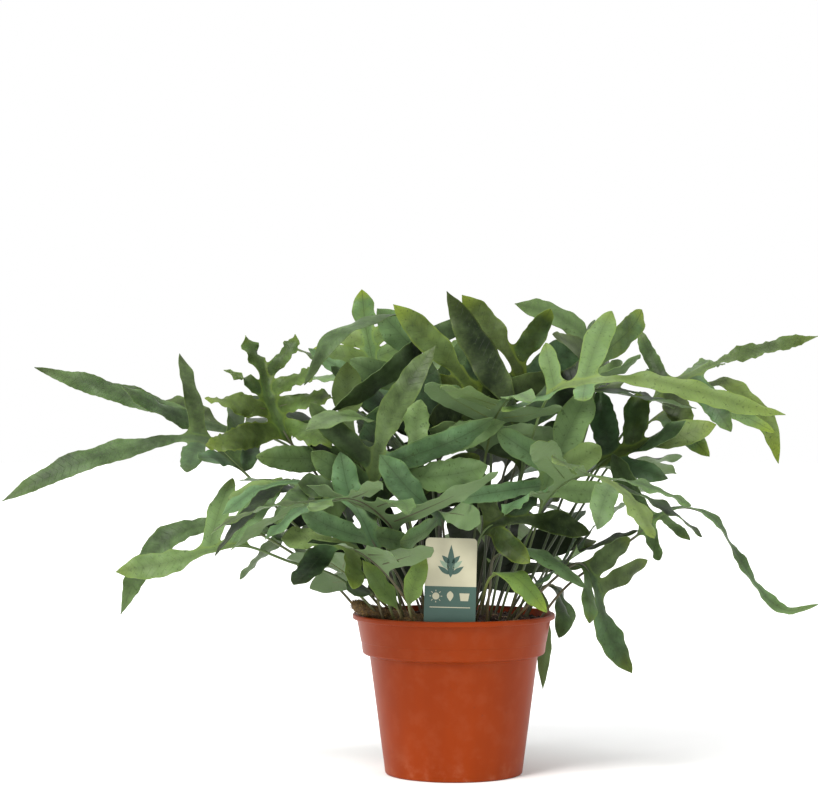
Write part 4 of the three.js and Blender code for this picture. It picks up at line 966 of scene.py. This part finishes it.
def dress_frond(order, frond, line, stations, reach):
    sheet = Sheet(frond)
    look = look_of(frond, order)
    rows, starts = blade_rows(frond, line, stations, reach)
    rest = line.total - reach
    count = max(LEAST_SEGMENTS["end"], round_half_up(rest / SEGMENT))
    root = (WING_HALF if stations else STALK_HALF) / (frond["width"] / 2)
    grid = []
    for distance in rows:
        share = (distance - reach) / rest
        wave = 0
        if share > 0:
            half = max(LEAST_HALF, frond["width"] / 2 * lobe_shape(share, root, frond["sharpness"]))
            wave = wave_at(share, count, frond["phase"])
        elif stations:
            start = smooth((distance - rows[0]) / (line.knee + WING_RUN - rows[0]))
            half = WING_LEAST + (wing_half(line, distance) - WING_LEAST) * start
        else:
            half = STALK_HALF * STALK_COVER
        sag = look["sag"] * smooth(share / SAG_START)
        place = line.point(distance), line.frame(distance)
        grid.append(sheet.row(*place, half, wave, distance - line.knee, max(0, share), look, sag))
    for a, b in zip(grid, grid[1:]):
        sheet.skin(a, b)

    ribs = [rib_of_spine(line)]
    for i, (station, start) in enumerate(zip(stations, starts)):
        run = grid[start:start + len(COLUMNS)]
        for j, lobe in enumerate(station["lobes"]):
            ribs.append(dress_lobe(sheet, run, lobe, look_of(frond, order, 1 + 2 * i + j)))

    body = Body()
    sheet.thicken(body)
    for rib in ribs:
        add_rib(body, rib, look)
    kind = "young_leaf" if frond.get("young") else "leaf"
    mesh = body.mesh(f"{frond['name']}_dressed", "shape", "tone")
    new_piece(frond["name"], mesh, [BLADES[kind], STALK], crease=55)


def dress_lobe(sheet, run, lobe, look):
    """Adds a side lobe to a frond's middle surface, from the stretch of wing that it grows from."""
    last = [row[-1] for row in reversed(run)] if lobe["side"] > 0 else [row[0] for row in run]
    sheet.corners += [last[0], last[-1]]
    root = [sheet.points[i] for i in last]
    rib = []
    for share in spaced(0, ROWS_END, ROW / lobe["length"]) + TIP_ROWS:
        centre = bezier(lobe["curve"], share)
        shape = lobe_shape(share, LOBE_BASE, sheet.frond["sharpness"], ROUNDNESS)
        blade_frame = lobe["frame"](share)
        half = max(LEAST_HALF, lobe["width"] / 2 * shape)
        wave = wave_at(share, lobe["count"], lobe["phase"])
        sag = look["sag"] * smooth(share / LOBE_SAG_START)
        numbers = sheet.row(centre, blade_frame, half, wave, share * lobe["length"], share, look, sag)
        blend = smooth(share * lobe["count"] * LOBE_EASE)
        for number, rooted in zip(numbers, root):
            swept = rooted + (centre - lobe["curve"][0])
            sheet.points[number] = swept * (1 - blend) + sheet.points[number] * blend
        sheet.skin(last, numbers)
        last = numbers
        thick, thin = LOBE_RIB_RADIUS
        rib.append((centre, blade_frame, (thick - thin) * (1 - share) + thin, share))
    return rib


def rib_of_spine(line):
    """The stalk and its run along the blade as the midrib, which stands out below the blade."""
    rib = []
    for distance in [0, *spaced(0, line.total * RIB_END, RIB_STEP)]:
        past = max(0, (distance - line.knee) / line.blade)
        radius = STALK_HALF + (RIB_TIP_RADIUS - STALK_HALF) * min(1, past * 1.02) ** 0.6
        rib.append((line.point(distance), line.frame(distance), radius, past))
    return rib


def add_rib(body, rib, look):
    rings = []
    for centre, (_, left, up), radius, share in rib:
        below = centre - up * radius * min(1, share * RIB_SINK)
        tone = (look["tone"], look["age"], look["chance"], share)
        places = ring_points(below, left, up, radius, RIB_SIDES)
        rings.append([body.point(place, tone, (0, 0, share, 1)) for place in places])
    body.tube(rings, 1)


# Materials

# The heart of the plant, where shade is painted into the colour, in metres: its centre, its reach to each
# side, and its darkest share
HEART_CENTRE = (-0.02, 0.075, 0.24)
HEART_REACH = (0.24, 0.19, 0.15)
HEART_CORE = 0.45


def linear(red, green, blue):
    """A colour of 0 to 255 values, as linear light."""
    def channel(value):
        value /= 255
        return value / 12.92 if value <= 0.04045 else ((value + 0.055) / 1.055) ** 2.4
    return (channel(red), channel(green), channel(blue), 1)


class Value:
    """A number that a material works out at each place. It takes plain arithmetic."""

    def __init__(self, finish, socket):
        self.finish = finish
        self.socket = socket

    def __add__(self, other):
        return self.finish.math("ADD", self, other)

    def __sub__(self, other):
        return self.finish.math("SUBTRACT", self, other)

    def __rsub__(self, other):
        return self.finish.math("SUBTRACT", other, self)

    def __mul__(self, other):
        return self.finish.math("MULTIPLY", self, other)


class Finish:
    """A material and short names for adding nodes to it."""

    def __init__(self, name, roughness=0.5):
        self.material = bpy.data.materials.new(name)
        self.material.use_nodes = True
        self.tree = self.material.node_tree
        self.shader = self.tree.nodes["Principled BSDF"]
        self.set({"Roughness": roughness})

    def put(self, socket, value):
        value = value.socket if isinstance(value, Value) else value
        if isinstance(value, bpy.types.NodeSocket):
            self.tree.links.new(value, socket)
        else:
            socket.default_value = value

    def set(self, values):
        for name, value in values.items():
            self.put(self.shader.inputs[name], value)

    def node(self, kind, values=None, **settings):
        made = self.tree.nodes.new(kind)
        for key, value in settings.items():
            setattr(made, key, value)
        for key, value in (values or {}).items():
            self.put(made.inputs[key], value)
        return made

    def math(self, operation, a, b=0.5):
        return Value(self, self.node("ShaderNodeMath", {0: a, 1: b}, operation=operation).outputs[0])

    def vector(self, operation, a, b=(0, 0, 0)):
        return self.node("ShaderNodeVectorMath", {0: a, 1: b}, operation=operation)

    def mix(self, share, a, b):
        return self.node("ShaderNodeMix", {0: share, 6: a, 7: b}, data_type="RGBA").outputs[2]

    def ramp(self, value, low, high):
        """0 below low, 1 above high, and smooth between."""
        values = {0: value, 1: low, 2: high, 3: 0, 4: 1}
        made = self.node("ShaderNodeMapRange", values, interpolation_type="SMOOTHSTEP")
        return Value(self, made.outputs[0])

    def place(self):
        return self.node("ShaderNodeTexCoord").outputs["Object"]

    def height(self):
        return Value(self, self.node("ShaderNodeSeparateXYZ", {0: self.place()}).outputs[2])

    def noise(self, scale, detail=3, roughness=0.55, place=None, distortion=0):
        values = {
            "Vector": place or self.place(), "Scale": scale, "Detail": detail, "Roughness": roughness,
            "Distortion": distortion,
        }
        return Value(self, self.node("ShaderNodeTexNoise", values).outputs[0])

    def marks(self, name):
        """The four numbers of a point's mark."""
        made = self.node("ShaderNodeAttribute", attribute_name=name)
        split = self.node("ShaderNodeSeparateColor", {0: made.outputs["Color"]})
        return [Value(self, socket) for socket in (*split.outputs[:3], made.outputs["Alpha"])]

    def bump(self, height, strength, distance):
        made = self.node("ShaderNodeBump", {"Height": height, "Strength": strength, "Distance": distance})
        self.set({"Normal": made.outputs[0]})

    def colour(self, value):
        self.set({"Base Color": value})

    def shaded_colour(self, value, share, dark):
        """A colour with painted shade, which darkens deep among the stalks, under the crown."""
        offset = self.vector("SUBTRACT", self.place(), HEART_CENTRE).outputs[0]
        ratio = self.vector("DIVIDE", offset, HEART_REACH).outputs[0]
        away = self.vector("LENGTH", ratio).outputs["Value"]
        self.colour(self.mix(1 - self.ramp(away, HEART_CORE, 1), value, self.mix(share, value, dark)))


def leaf_finish(name, dark, light, fresh, under):
    """A waxy blade: mottled blue-green, with a fine dark midrib, faint side veins, a thin pale margin, pale
    patches of glaucous wax that are partly a painted sheen, and painted shade deep in the heart of the
    plant.
    """
    finish = Finish(name)
    across, rib, along, side = finish.marks("shape")
    tone, age, chance, share = finish.marks("tone")
    rib_mm = rib * ACROSS_SPAN
    along_mm = along * ALONG_SPAN
    cloud = finish.noise(26, 4)
    fine = finish.noise(180, 3)
    blotch = finish.ramp(finish.noise(60, 2), 0.42, 0.68)
    lit = finish.ramp(tone * 0.62 + cloud * 0.7 + fine * 0.16, 0.38, 0.98)
    hue = finish.mix(finish.ramp(chance, 0.55, 0.95) * 0.65, light, linear(80, 114, 80))
    hue = finish.mix((1 - finish.ramp(chance, 0.05, 0.4)) * 0.5, hue, linear(106, 119, 62))
    base = finish.mix(lit, dark, hue)
    base = finish.mix((1 - finish.ramp(rib_mm, 0.6, 7)) * 0.26, base, dark)
    tip = finish.ramp(share, 0.62, 1) * (finish.math("MINIMUM", 1, age * 3.2) + 0.05)
    base = finish.mix(finish.math("MAXIMUM", age * (blotch * 0.45 + 0.55), tip), base, fresh)

    lean = along_mm - rib_mm * 0.75 + finish.noise(90, 2) * 5
    vein = finish.math("ABSOLUTE", finish.math("SINE", lean * 0.42))
    vein = (1 - finish.ramp(vein, 0.02, 0.16)) * (1 - finish.ramp(across, 0.6, 0.95))
    base = finish.mix(vein * 0.2, base, dark)
    margin = finish.ramp(across, 0.82, 1) * finish.math("MINIMUM", 0.32, age * 1.1 + 0.1)
    base = finish.mix(margin, base, fresh)
    base = finish.mix(finish.ramp(finish.noise(330, 2), 0.63, 0.69) * 0.55, base, linear(46, 58, 30))
    # Pale glaucous wax that is also a painted sheen: pale patches, strongest where the blade is lightest.
    wax_and_painted_sheen = finish.ramp(finish.noise(30, 2, distortion=0.3), 0.5, 0.8) * 0.2
    base = finish.mix(wax_and_painted_sheen * lit, base, linear(138, 160, 124))
    below = finish.mix(vein * 0.3, finish.mix(age * 0.5, under, fresh), light)
    base = finish.mix(side, below, base)
    line = (1 - finish.ramp(rib_mm, 0.25, 0.75)) * (side * (chance * 0.45))
    base = finish.mix(line, base, linear(48, 60, 38))
    # Painted shade: the blades darken toward the heart of the plant.
    finish.shaded_colour(base, 0.88, linear(6, 14, 2))
    finish.set({
        "Roughness": cloud * 0.22 + 0.34, "Specular IOR Level": 0.13, "Subsurface Weight": 0.12,
        "Subsurface Scale": 0.0015, "Subsurface Radius": (0.6, 1, 0.25),
    })
    finish.bump(vein * -0.6 + fine * 0.8 + cloud * 1.4, 0.35, 0.0012)
    return finish.material


def stalk_finish():
    """Stalks and ribs: brown at the foot, yellow-green further up, with a fine grain, and painted shade deep
    among the stalks.
    """
    finish = Finish("stalk")
    _, _, chance, _ = finish.marks("tone")
    up = finish.ramp(finish.height() + chance * -0.03, 0.135, 0.175)
    green = finish.mix(finish.ramp(chance, 0.3, 0.8), linear(76, 98, 44), linear(112, 124, 56))
    green = finish.mix(finish.ramp(chance, 0.62, 0.7), green, linear(66, 62, 40))
    base = finish.mix(up, linear(88, 74, 44), green)
    base = finish.mix(finish.noise(300, 3) * 0.35, base, linear(54, 62, 34))
    # Painted shade: the stalks darken toward the heart of the plant.
    finish.shaded_colour(base, 0.7, linear(18, 18, 6))
    finish.bump(finish.noise(700, 2), 0.2, 0.0005)
    return finish.material


def pot_finish():
    """Terracotta-coloured plastic with a soft gloss, faint flow marks and a little dust near its foot."""
    finish = Finish("pot")
    stretched = finish.node("ShaderNodeMapping", {"Vector": finish.place(), "Scale": (1, 1, 0.12)})
    flow = finish.noise(34, 4, place=stretched.outputs[0])
    level = flow * 0.5 + finish.noise(9, 3) * 0.6
    base = finish.mix(finish.ramp(level, 0.3, 0.85), linear(122, 43, 4), linear(136, 50, 5))
    low = 1 - finish.ramp(finish.height(), 0, 0.03)
    dust = finish.ramp(finish.noise(70, 5), 0.45, 0.7) * 0.14 * (low * 0.7 + 0.2)
    base = finish.mix(dust, base, linear(186, 140, 112))
    finish.colour(finish.mix(finish.ramp(finish.noise(260, 2), 0.72, 0.76) * 0.4, base, linear(96, 48, 34)))
    finish.set({
        "Roughness": flow * 0.14 + dust * 0.6 + 0.32, "Specular IOR Level": 0.1, "Subsurface Weight": 0.05,
        "Subsurface Scale": 0.002,
    })
    finish.bump(flow * 1.5 + finish.noise(900, 2) * 0.12, 0.12, 0.0008)
    return finish.material


def soil_finish():
    finish = Finish("soil", 0.9)
    tone, _, _, _ = finish.marks("tone")
    fine = finish.noise(520, 4, 0.7)
    level = finish.ramp(fine * 0.8 + tone * 0.4, 0.42, 0.95)
    base = finish.mix(level, linear(34, 22, 17), linear(84, 56, 40))
    finish.colour(finish.mix(finish.ramp(tone, 0.93, 0.97) * 0.7, base, linear(158, 112, 78)))
    finish.bump(fine, 0.9, 0.0015)
    return finish.material


def strand_finish(name, dark, light):
    """Fine strands and scales, each with its own shade between dark and light."""
    finish = Finish(name, 0.75)
    tone, _, _, _ = finish.marks("tone")
    level = tone * 0.75 + finish.noise(600, 3) * 0.5
    finish.colour(finish.mix(finish.ramp(level, 0.25, 1.05), dark, light))
    finish.bump(finish.noise(1400, 2), 0.4, 0.0004)
    return finish.material


def card_finish(name, colour):
    """Printed card: a satin skin with the faintest grain."""
    finish = Finish(name, 0.42)
    red, green, blue, _ = colour
    worn = (red * 0.93, green * 0.93, blue * 0.92, 1)
    finish.colour(finish.mix(finish.ramp(finish.noise(55, 4), 0.35, 0.65), worn, colour))
    finish.bump(finish.noise(500, 2), 0.06, 0.0003)
    return finish.material


BLADES = dict(
    leaf=leaf_finish(
        "leaf", linear(12, 24, 6), linear(91, 115, 71), linear(114, 131, 40), linear(97, 118, 80),
    ),
    young_leaf=leaf_finish(
        "young_leaf", linear(17, 31, 7), linear(88, 113, 58), linear(118, 136, 42), linear(98, 118, 68),
    ),
)
STALK = stalk_finish()


# Soil

def inside_radius(height):
    """The pot's inside radius at a height."""
    if height < STEP_HEIGHT:
        return BASE_RADIUS - WALL + ((STEP_RADIUS - BASE_RADIUS) * height) / STEP_HEIGHT
    share = (height - COLLAR_HEIGHT) / (LIP_HEIGHT - COLLAR_HEIGHT)
    return COLLAR_FOOT_RADIUS - WALL + (COLLAR_TOP_RADIUS - COLLAR_FOOT_RADIUS) * share


def rough_height(x, y):
    """The height of the soil's mound, with its lumps and hollows."""
    share = math.hypot(x, y) / inside_radius(SOIL_EDGE_HEIGHT)
    mound = min(1, share)
    bumps = 1.1 * math.sin(x * 0.13 + 1) * math.cos(y * 0.11)
    height = SOIL_EDGE_HEIGHT + SOIL_MOUND * (1 - mound * mound) + bumps * (1 - mound)
    lumps = sum(high * noise.noise(Vector((x / span, y / span, seed))) for span, seed, high in LUMPS)
    return height + lumps - 1.2 * smooth((share - 0.9) / 0.1)


def add_crumb(body, draw, centre, size):
    """A lump whose corners are pushed out unevenly, with a facet for each three."""
    turn = draw(0, 6)
    corners = []
    for height, reach, count in CRUMB_RINGS:
        ring = []
        for i in range(count):
            angle = turn + 2 * math.pi * (i + (0.5 if height < 0 else 0)) / count
            grow = size * draw(0.65, 1.2)
            place = centre + grow * np.array([
                reach * math.cos(angle), reach * math.sin(angle) * draw(0.6, 1), height * draw(0.5, 0.9),
            ])
            ring.append(body.point(place, (draw(0, 1), 0, 0, 0)))
        corners.append(ring)
    top, high, low, bottom = corners
    for (a, b), (c, d) in zip(around(high), around(low)):
        for face in ((top[0], a, b), (a, c, b), (b, c, d), (c, bottom[0], d)):
            body.face(face)


def add_fibre(body, draw, start, length, radius, index):
    """A thin root or strand that wanders over the soil."""
    way = draw(0, 2 * math.pi)
    turn = draw(-0.5, 0.5)
    place = np.array(start, float)
    rings = []
    for i in range(FIBRE_STEPS + 1):
        forward = np.array([math.cos(way), math.sin(way), 0.0])
        left = np.array([-forward[1], forward[0], 0.0])
        spots = ring_points(place, left, UP, radius * (1 - 0.6 * i / FIBRE_STEPS), 4)
        rings.append([body.point(spot, (draw(0, 1), 0, 0, 0)) for spot in spots])
        place = place + forward * length / FIBRE_STEPS
        room = inside_radius(SOIL_EDGE_HEIGHT) - 2
        reach = math.hypot(place[0], place[1])
        if reach > room:
            place[:2] *= room / reach
        arch = 1.2 * math.sin(math.pi * i / FIBRE_STEPS)
        place[2] = rough_height(place[0], place[1]) + 0.4 + arch * draw(0, 1)
        way += turn + draw(-0.45, 0.45)
    body.tube(rings, index)


def dress_soil():
    body = Body()
    top = inside_radius(SOIL_EDGE_HEIGHT) - GAP
    below = FLOOR + GAP
    rows = []
    for i in range(1, SOIL_RINGS + 1):
        spots = circle(top * i / SOIL_RINGS, SOIL_SECTORS)
        rows.append([body.point((x, y, rough_height(x, y))) for x, y in spots])
    for height in (COLLAR_HEIGHT, STEP_HEIGHT - 1, below):
        spots = circle(inside_radius(height) - GAP, SOIL_SECTORS)
        rows.append([body.point((x, y, height)) for x, y in spots])
    body.skin(rows, flipped=True)
    body.fan((0, 0, rough_height(0, 0)), rows[0])
    body.fan((0, 0, below), rows[-1], flipped=True)
    draw = random_from(61)

    def spot(reach):
        """A place drawn by chance on the soil, out to a share of its area."""
        radius, angle = top * math.sqrt(draw(0, reach)), draw(0, 2 * math.pi)
        x, y = radius * math.cos(angle), radius * math.sin(angle)
        return radius, (x, y, rough_height(x, y))

    for _ in range(CRUMBS):
        radius, place = spot(0.96)
        size = CRUMB_SIZE[0] + CRUMB_SIZE[1] * draw(0, 1) ** 3
        if radius + size < top:
            add_crumb(body, draw, place + UP * size * 0.25, size)
    for i in range(FIBRES):
        _, place = spot(0.9)
        add_fibre(body, draw, place, draw(*FIBRE_LENGTH), draw(*FIBRE_RADIUS), 1 if i % 3 else 2)
    strands = [
        strand_finish("fibre", linear(70, 40, 26), linear(134, 88, 56)),
        strand_finish("root_hair", linear(150, 120, 90), linear(206, 186, 152)),
    ]
    new_piece("soil", body.mesh("soil_dressed", "tone"), [soil_finish(), *strands], crease=50)


# Rhizomes

def rhizome_radius(rhizome, share):
    rounded = math.sqrt(max(0, 1 - abs(2 * share - 1) ** 5))
    knobs = 1 + 0.13 * math.sin(share * 19 + rhizome["points"][0][0])
    return max(0.16, rounded) * knobs * rhizome["radius"] * (1 - 0.2 * share)


def dress_rhizome(number, rhizome, coat):
    """A rhizome under its coat of fine scales, which lie back along it with their tips standing out."""
    body = Body()
    points = np.array(rhizome["points"], float)

    def section(share):
        forward = direction(catmull, points, share)
        left = unit(np.cross(UP, forward))
        rise = np.cross(forward, left)
        return catmull(points, share), forward, left, rise, rhizome_radius(rhizome, share)

    rings = []
    for i in range(RHIZOME_RINGS + 1):
        centre, _, left, rise, radius = section(i / RHIZOME_RINGS)
        ring = []
        for place in ring_points(centre, left, rise, radius, RHIZOME_SIDES):
            lump = noise.noise(Vector(place / 4)) + 0.5 * noise.noise(Vector(place / 1.7))
            outward = (place - centre) / max(radius, 0.1)
            ring.append(body.point(place + outward * lump * 0.07 * radius, (0.3, 0, 0, 0)))
        rings.append(ring)
    body.tube(rings)
    draw = random_from(71, number)
    for _ in range(SCALES):
        share, angle = draw(0.01, 0.99), draw(0, 2 * math.pi)
        centre, forward, left, rise, radius = section(share)
        outward = left * math.cos(angle) + rise * math.sin(angle)
        side = np.cross(forward, outward)
        root = centre + outward * radius * 0.96
        long, wide = draw(*SCALE_LENGTH), draw(*SCALE_HALF)
        tip = root + forward * long * draw(-0.4, 1) + outward * draw(0.6, 2.2) + side * draw(-1.2, 1.2)
        shade = draw(0.2, 1)
        a, b, c = (
            body.point(place, (shade, 0, 0, 0))
            for place in (root - side * wide, root + side * wide, root - outward * 0.4)
        )
        d = body.point(tip, (min(1, shade + 0.3), 0, 0, 0))
        for face in ((a, b, d), (b, c, d), (c, a, d), (b, a, c)):
            body.face(face)
    name = rhizome["name"]
    new_piece(name, body.mesh(f"{name}_dressed", "tone"), [coat], crease=60)


# Pot

def rounded_profile(corners):
    """A turned profile with its corners rounded, without its two ends on the axis."""
    profile = []
    for (x0, y0, _), (x1, y1, room), (x2, y2, _) in zip(corners, corners[1:], corners[2:]):
        before, after = math.hypot(x0 - x1, y0 - y1), math.hypot(x2 - x1, y2 - y1)
        back, ahead = min(room / before, 0.5), min(room / after, 0.5)
        points = [
            np.array([x1 + (x0 - x1) * back, y1 + (y0 - y1) * back]), np.array([x1, y1]),
            np.array([x1 + (x2 - x1) * ahead, y1 + (y2 - y1) * ahead]),
        ]
        profile += [bezier(points, i / ROUNDING_STEPS) for i in range(ROUNDING_STEPS + 1)]
    return profile


def notch_cutter(number):
    """The room of a drain notch, which widens with a small step toward the ground."""
    angle = math.radians(NOTCH["first_degrees"] + number * 360 / NOTCH["count"])
    out = np.array([math.cos(angle), math.sin(angle), 0])
    across = np.array([-math.sin(angle), math.cos(angle), 0])
    foot, top, high = NOTCH["width"] / 2, NOTCH["top_width"] / 2, NOTCH["height"]
    outline = [
        (-foot, -1), (foot, -1), (top + 1, high - 1), (top - 1, high), (1 - top, high), (-top - 1, high - 1),
    ]
    outside = BASE_RADIUS + NOTCH["clear"]
    body = Body()
    rings = []
    for reach in (outside - NOTCH["depth"], outside):
        rings.append([body.point(out * reach + across * x + np.array([0, 0, z])) for x, z in outline])
    body.tube(rings, flipped=True)
    return stand("notch", body.mesh("notch"))


def dress_pot():
    body = Body()
    rings = []
    for radius, height in rounded_profile(POT_CORNERS):
        rings.append([body.point((x, y, height)) for x, y in circle(radius, POT_SIDES)])
    body.skin(rings)
    body.fan((0, 0, 0), rings[0], flipped=True)
    body.fan((0, 0, FLOOR), rings[-1])
    wall = stand("pot_wall", body.mesh("pot_wall"))
    cutters = [notch_cutter(number) for number in range(NOTCH["count"])]
    for cutter in cutters:
        cut = wall.modifiers.new("notch", "BOOLEAN")
        cut.operation = "DIFFERENCE"
        cut.solver = "EXACT"
        cut.object = cutter
    graph = bpy.context.evaluated_depsgraph_get()
    mesh = bpy.data.meshes.new_from_object(wall.evaluated_get(graph))
    mesh.name = "pot_dressed"
    for old in (wall, *cutters):
        bpy.data.objects.remove(old)
    mesh.materials.clear()
    new_piece("pot", mesh, [pot_finish()], crease=38)


# Label

def on_label(x, out, height):
    """A point of the label: out is how far it stands before the card's middle."""
    rise = height - LABEL["shoulder"]
    y = -out * math.cos(LABEL_LEAN) + rise * math.sin(LABEL_LEAN)
    z = out * math.sin(LABEL_LEAN) + rise * math.cos(LABEL_LEAN)
    return (
        LABEL["x"] + x * math.cos(LABEL_TILT) + z * math.sin(LABEL_TILT), LABEL["y"] + y,
        LABEL["shoulder"] - x * math.sin(LABEL_TILT) + z * math.cos(LABEL_TILT),
    )


def add_plate(body, outline, index, low=CARD_HALF, high=CARD_HALF + PRINT):
    """A flat plate that stands between two depths of the card, with its outline counterclockwise."""
    rings = [[body.point(on_label(x, out, z)) for x, z in outline] for out in (low, high)]
    body.tube(rings, index)


def leaflet(x, z, length, width, degrees):
    """A pointed leaflet that grows from a point in the direction of an angle."""
    cos, sin = math.cos(math.radians(degrees)), math.sin(math.radians(degrees))
    rim = []
    for side, steps in ((-1, range(LEAFLET_STEPS + 1)), (1, range(LEAFLET_STEPS - 1, 0, -1))):
        for i in steps:
            share = i / LEAFLET_STEPS
            a, b = share * length, side * width / 2 * math.sin(math.pi * share ** 0.8)
            rim.append((x + a * cos - b * sin, z + a * sin + b * cos))
    return rim


def dress_label():
    """A card of two colours, with a plain leaf above, and a sun, a drop, a pot and a line below."""
    body = Body()
    half, shoulder, point = LABEL["width"] / 2, LABEL["shoulder"], LABEL["point"]
    arc = []
    for i in range(CORNER_STEPS + 1):
        angle = math.pi / 2 * i / CORNER_STEPS
        x, z = half - LABEL_CORNER, LABEL["top"] - LABEL_CORNER
        arc.append((x + LABEL_CORNER * math.cos(angle), z + LABEL_CORNER * math.sin(angle)))
    mirrored = [(-x, z) for x, z in reversed(arc)]
    upper = [(half, BAND_TOP), *arc, *mirrored, (-half, BAND_TOP)]
    lower = [
        (-half, BAND_TOP), (-half, shoulder), (-LABEL_SPIKE_HALF, point), (LABEL_SPIKE_HALF, point),
        (half, shoulder), (half, BAND_TOP),
    ]
    add_plate(body, upper, 0, -CARD_HALF, CARD_HALF)
    add_plate(body, lower, 1, -CARD_HALF, CARD_HALF)
    for *sizes, index in LEAF_MOTIF:
        add_plate(body, leaflet(*sizes), index)
    sun = SUN_SYMBOL
    x, z = sun["x"], sun["z"]
    add_plate(body, [(x + a, z + b) for a, b in circle(sun["radius"], sun["sides"])], 0)
    for i, (a, b) in enumerate(circle(sun["ray_start"], sun["rays"])):
        ray = leaflet(x + a, z + b, sun["ray_length"], sun["ray_width"], i * 360 / sun["rays"])
        add_plate(body, ray, 0)
    add_plate(body, leaflet(*DROP_SYMBOL), 0)
    add_plate(body, POT_SYMBOL, 0)
    end, low, high = half - PRINTED_LINE["margin"], PRINTED_LINE["low"], PRINTED_LINE["high"]
    add_plate(body, [(-end, low), (end, low), (end, high), (-end, high)], 0)
    cards = [
        card_finish("label_cream", linear(181, 177, 151)), card_finish("label_green", linear(52, 82, 72)),
        card_finish("label_sage", linear(128, 150, 128)),
    ]
    new_piece("label", body.mesh("label_dressed"), cards, crease=30)


def dress_fronds():
    makers = [partial(placed_frond, entry, index) for index, entry in enumerate(PLACED)]
    for tier in TIERS:
        makers += [partial(grown_frond, tier, number) for number in range(tier["count"])]
    for order, maker in enumerate(makers):
        dress_frond(order, *standing_frond(maker))


dress_fronds()
rhizome_coat = strand_finish("rhizome", linear(50, 34, 20), linear(142, 112, 58))
dress_soil()
for number, rhizome in enumerate(RHIZOMES):
    dress_rhizome(number, rhizome, rhizome_coat)
dress_pot()
dress_label()


# Floor, light and camera

FLOOR_HALF = 9000
FLOOR_DROP = 0.2
SUN = dict(place=(-1500, -1900, 2600), target=(0, 0, 250), power=3.56, degrees=24, colour=(1, 0.985, 0.96))
LAMPS = [
    dict(name="side", place=(-1500, -900, 420), aim=220, size=400, power=2.5, colour=(1, 0.98, 0.96)),
    dict(name="fill", place=(1900, -1700, 1100), aim=220, size=1800, power=4, colour=(0.97, 0.985, 1)),
    dict(name="top", place=(100, 500, 2500), aim=200, size=1600, power=12, colour=(1, 1, 1)),
]
CAMERA = dict(place=(-42, -2455, 369), target=(-42, 0, 350), lens=115.1, sensor=36)


def stand_aimed(name, data, place, target):
    holder = stand(name, data)
    holder.location = Vector(place) * MM
    away = Vector(target) * MM - holder.location
    holder.rotation_euler = away.to_track_quat("-Z", "Y").to_euler()
    return holder


def stand_floor():
    body = Body()
    corners = ((-1, -1), (1, -1), (1, 1), (-1, 1))
    body.face(body.point((x * FLOOR_HALF, y * FLOOR_HALF, -FLOOR_DROP)) for x, y in corners)
    mesh = body.mesh("floor")
    finish = Finish("floor", 0.85)
    finish.colour(finish.mix(finish.noise(6, 2), (0.9, 0.9, 0.9, 1), (0.93, 0.93, 0.93, 1)))
    mesh.materials.append(finish.material)
    stand("floor", mesh)


def light_studio():
    sun = bpy.data.lights.new("key", "SUN")
    sun.energy = SUN["power"]
    sun.angle = math.radians(SUN["degrees"])
    sun.color = SUN["colour"]
    stand_aimed("key", sun, SUN["place"], SUN["target"])
    for spec in LAMPS:
        lamp = bpy.data.lights.new(spec["name"], "AREA")
        lamp.shape = "DISK"
        lamp.size = spec["size"] * MM
        lamp.energy = spec["power"]
        lamp.color = spec["colour"]
        stand_aimed(spec["name"], lamp, spec["place"], (0, 0, spec["aim"]))
    world = bpy.data.worlds.new("studio")
    world.use_nodes = True
    background = world.node_tree.nodes["Background"]
    background.inputs[0].default_value = (1, 1, 1, 1)
    background.inputs[1].default_value = 1
    bpy.context.scene.world = world
    bpy.context.scene.view_settings.view_transform = "Standard"


def stand_camera():
    lens = bpy.data.cameras.new("camera")
    lens.sensor_fit = "HORIZONTAL"
    lens.sensor_width = CAMERA["sensor"]
    lens.lens = CAMERA["lens"]
    bpy.context.scene.camera = stand_aimed("camera", lens, CAMERA["place"], CAMERA["target"])


stand_floor()
light_studio()
stand_camera()
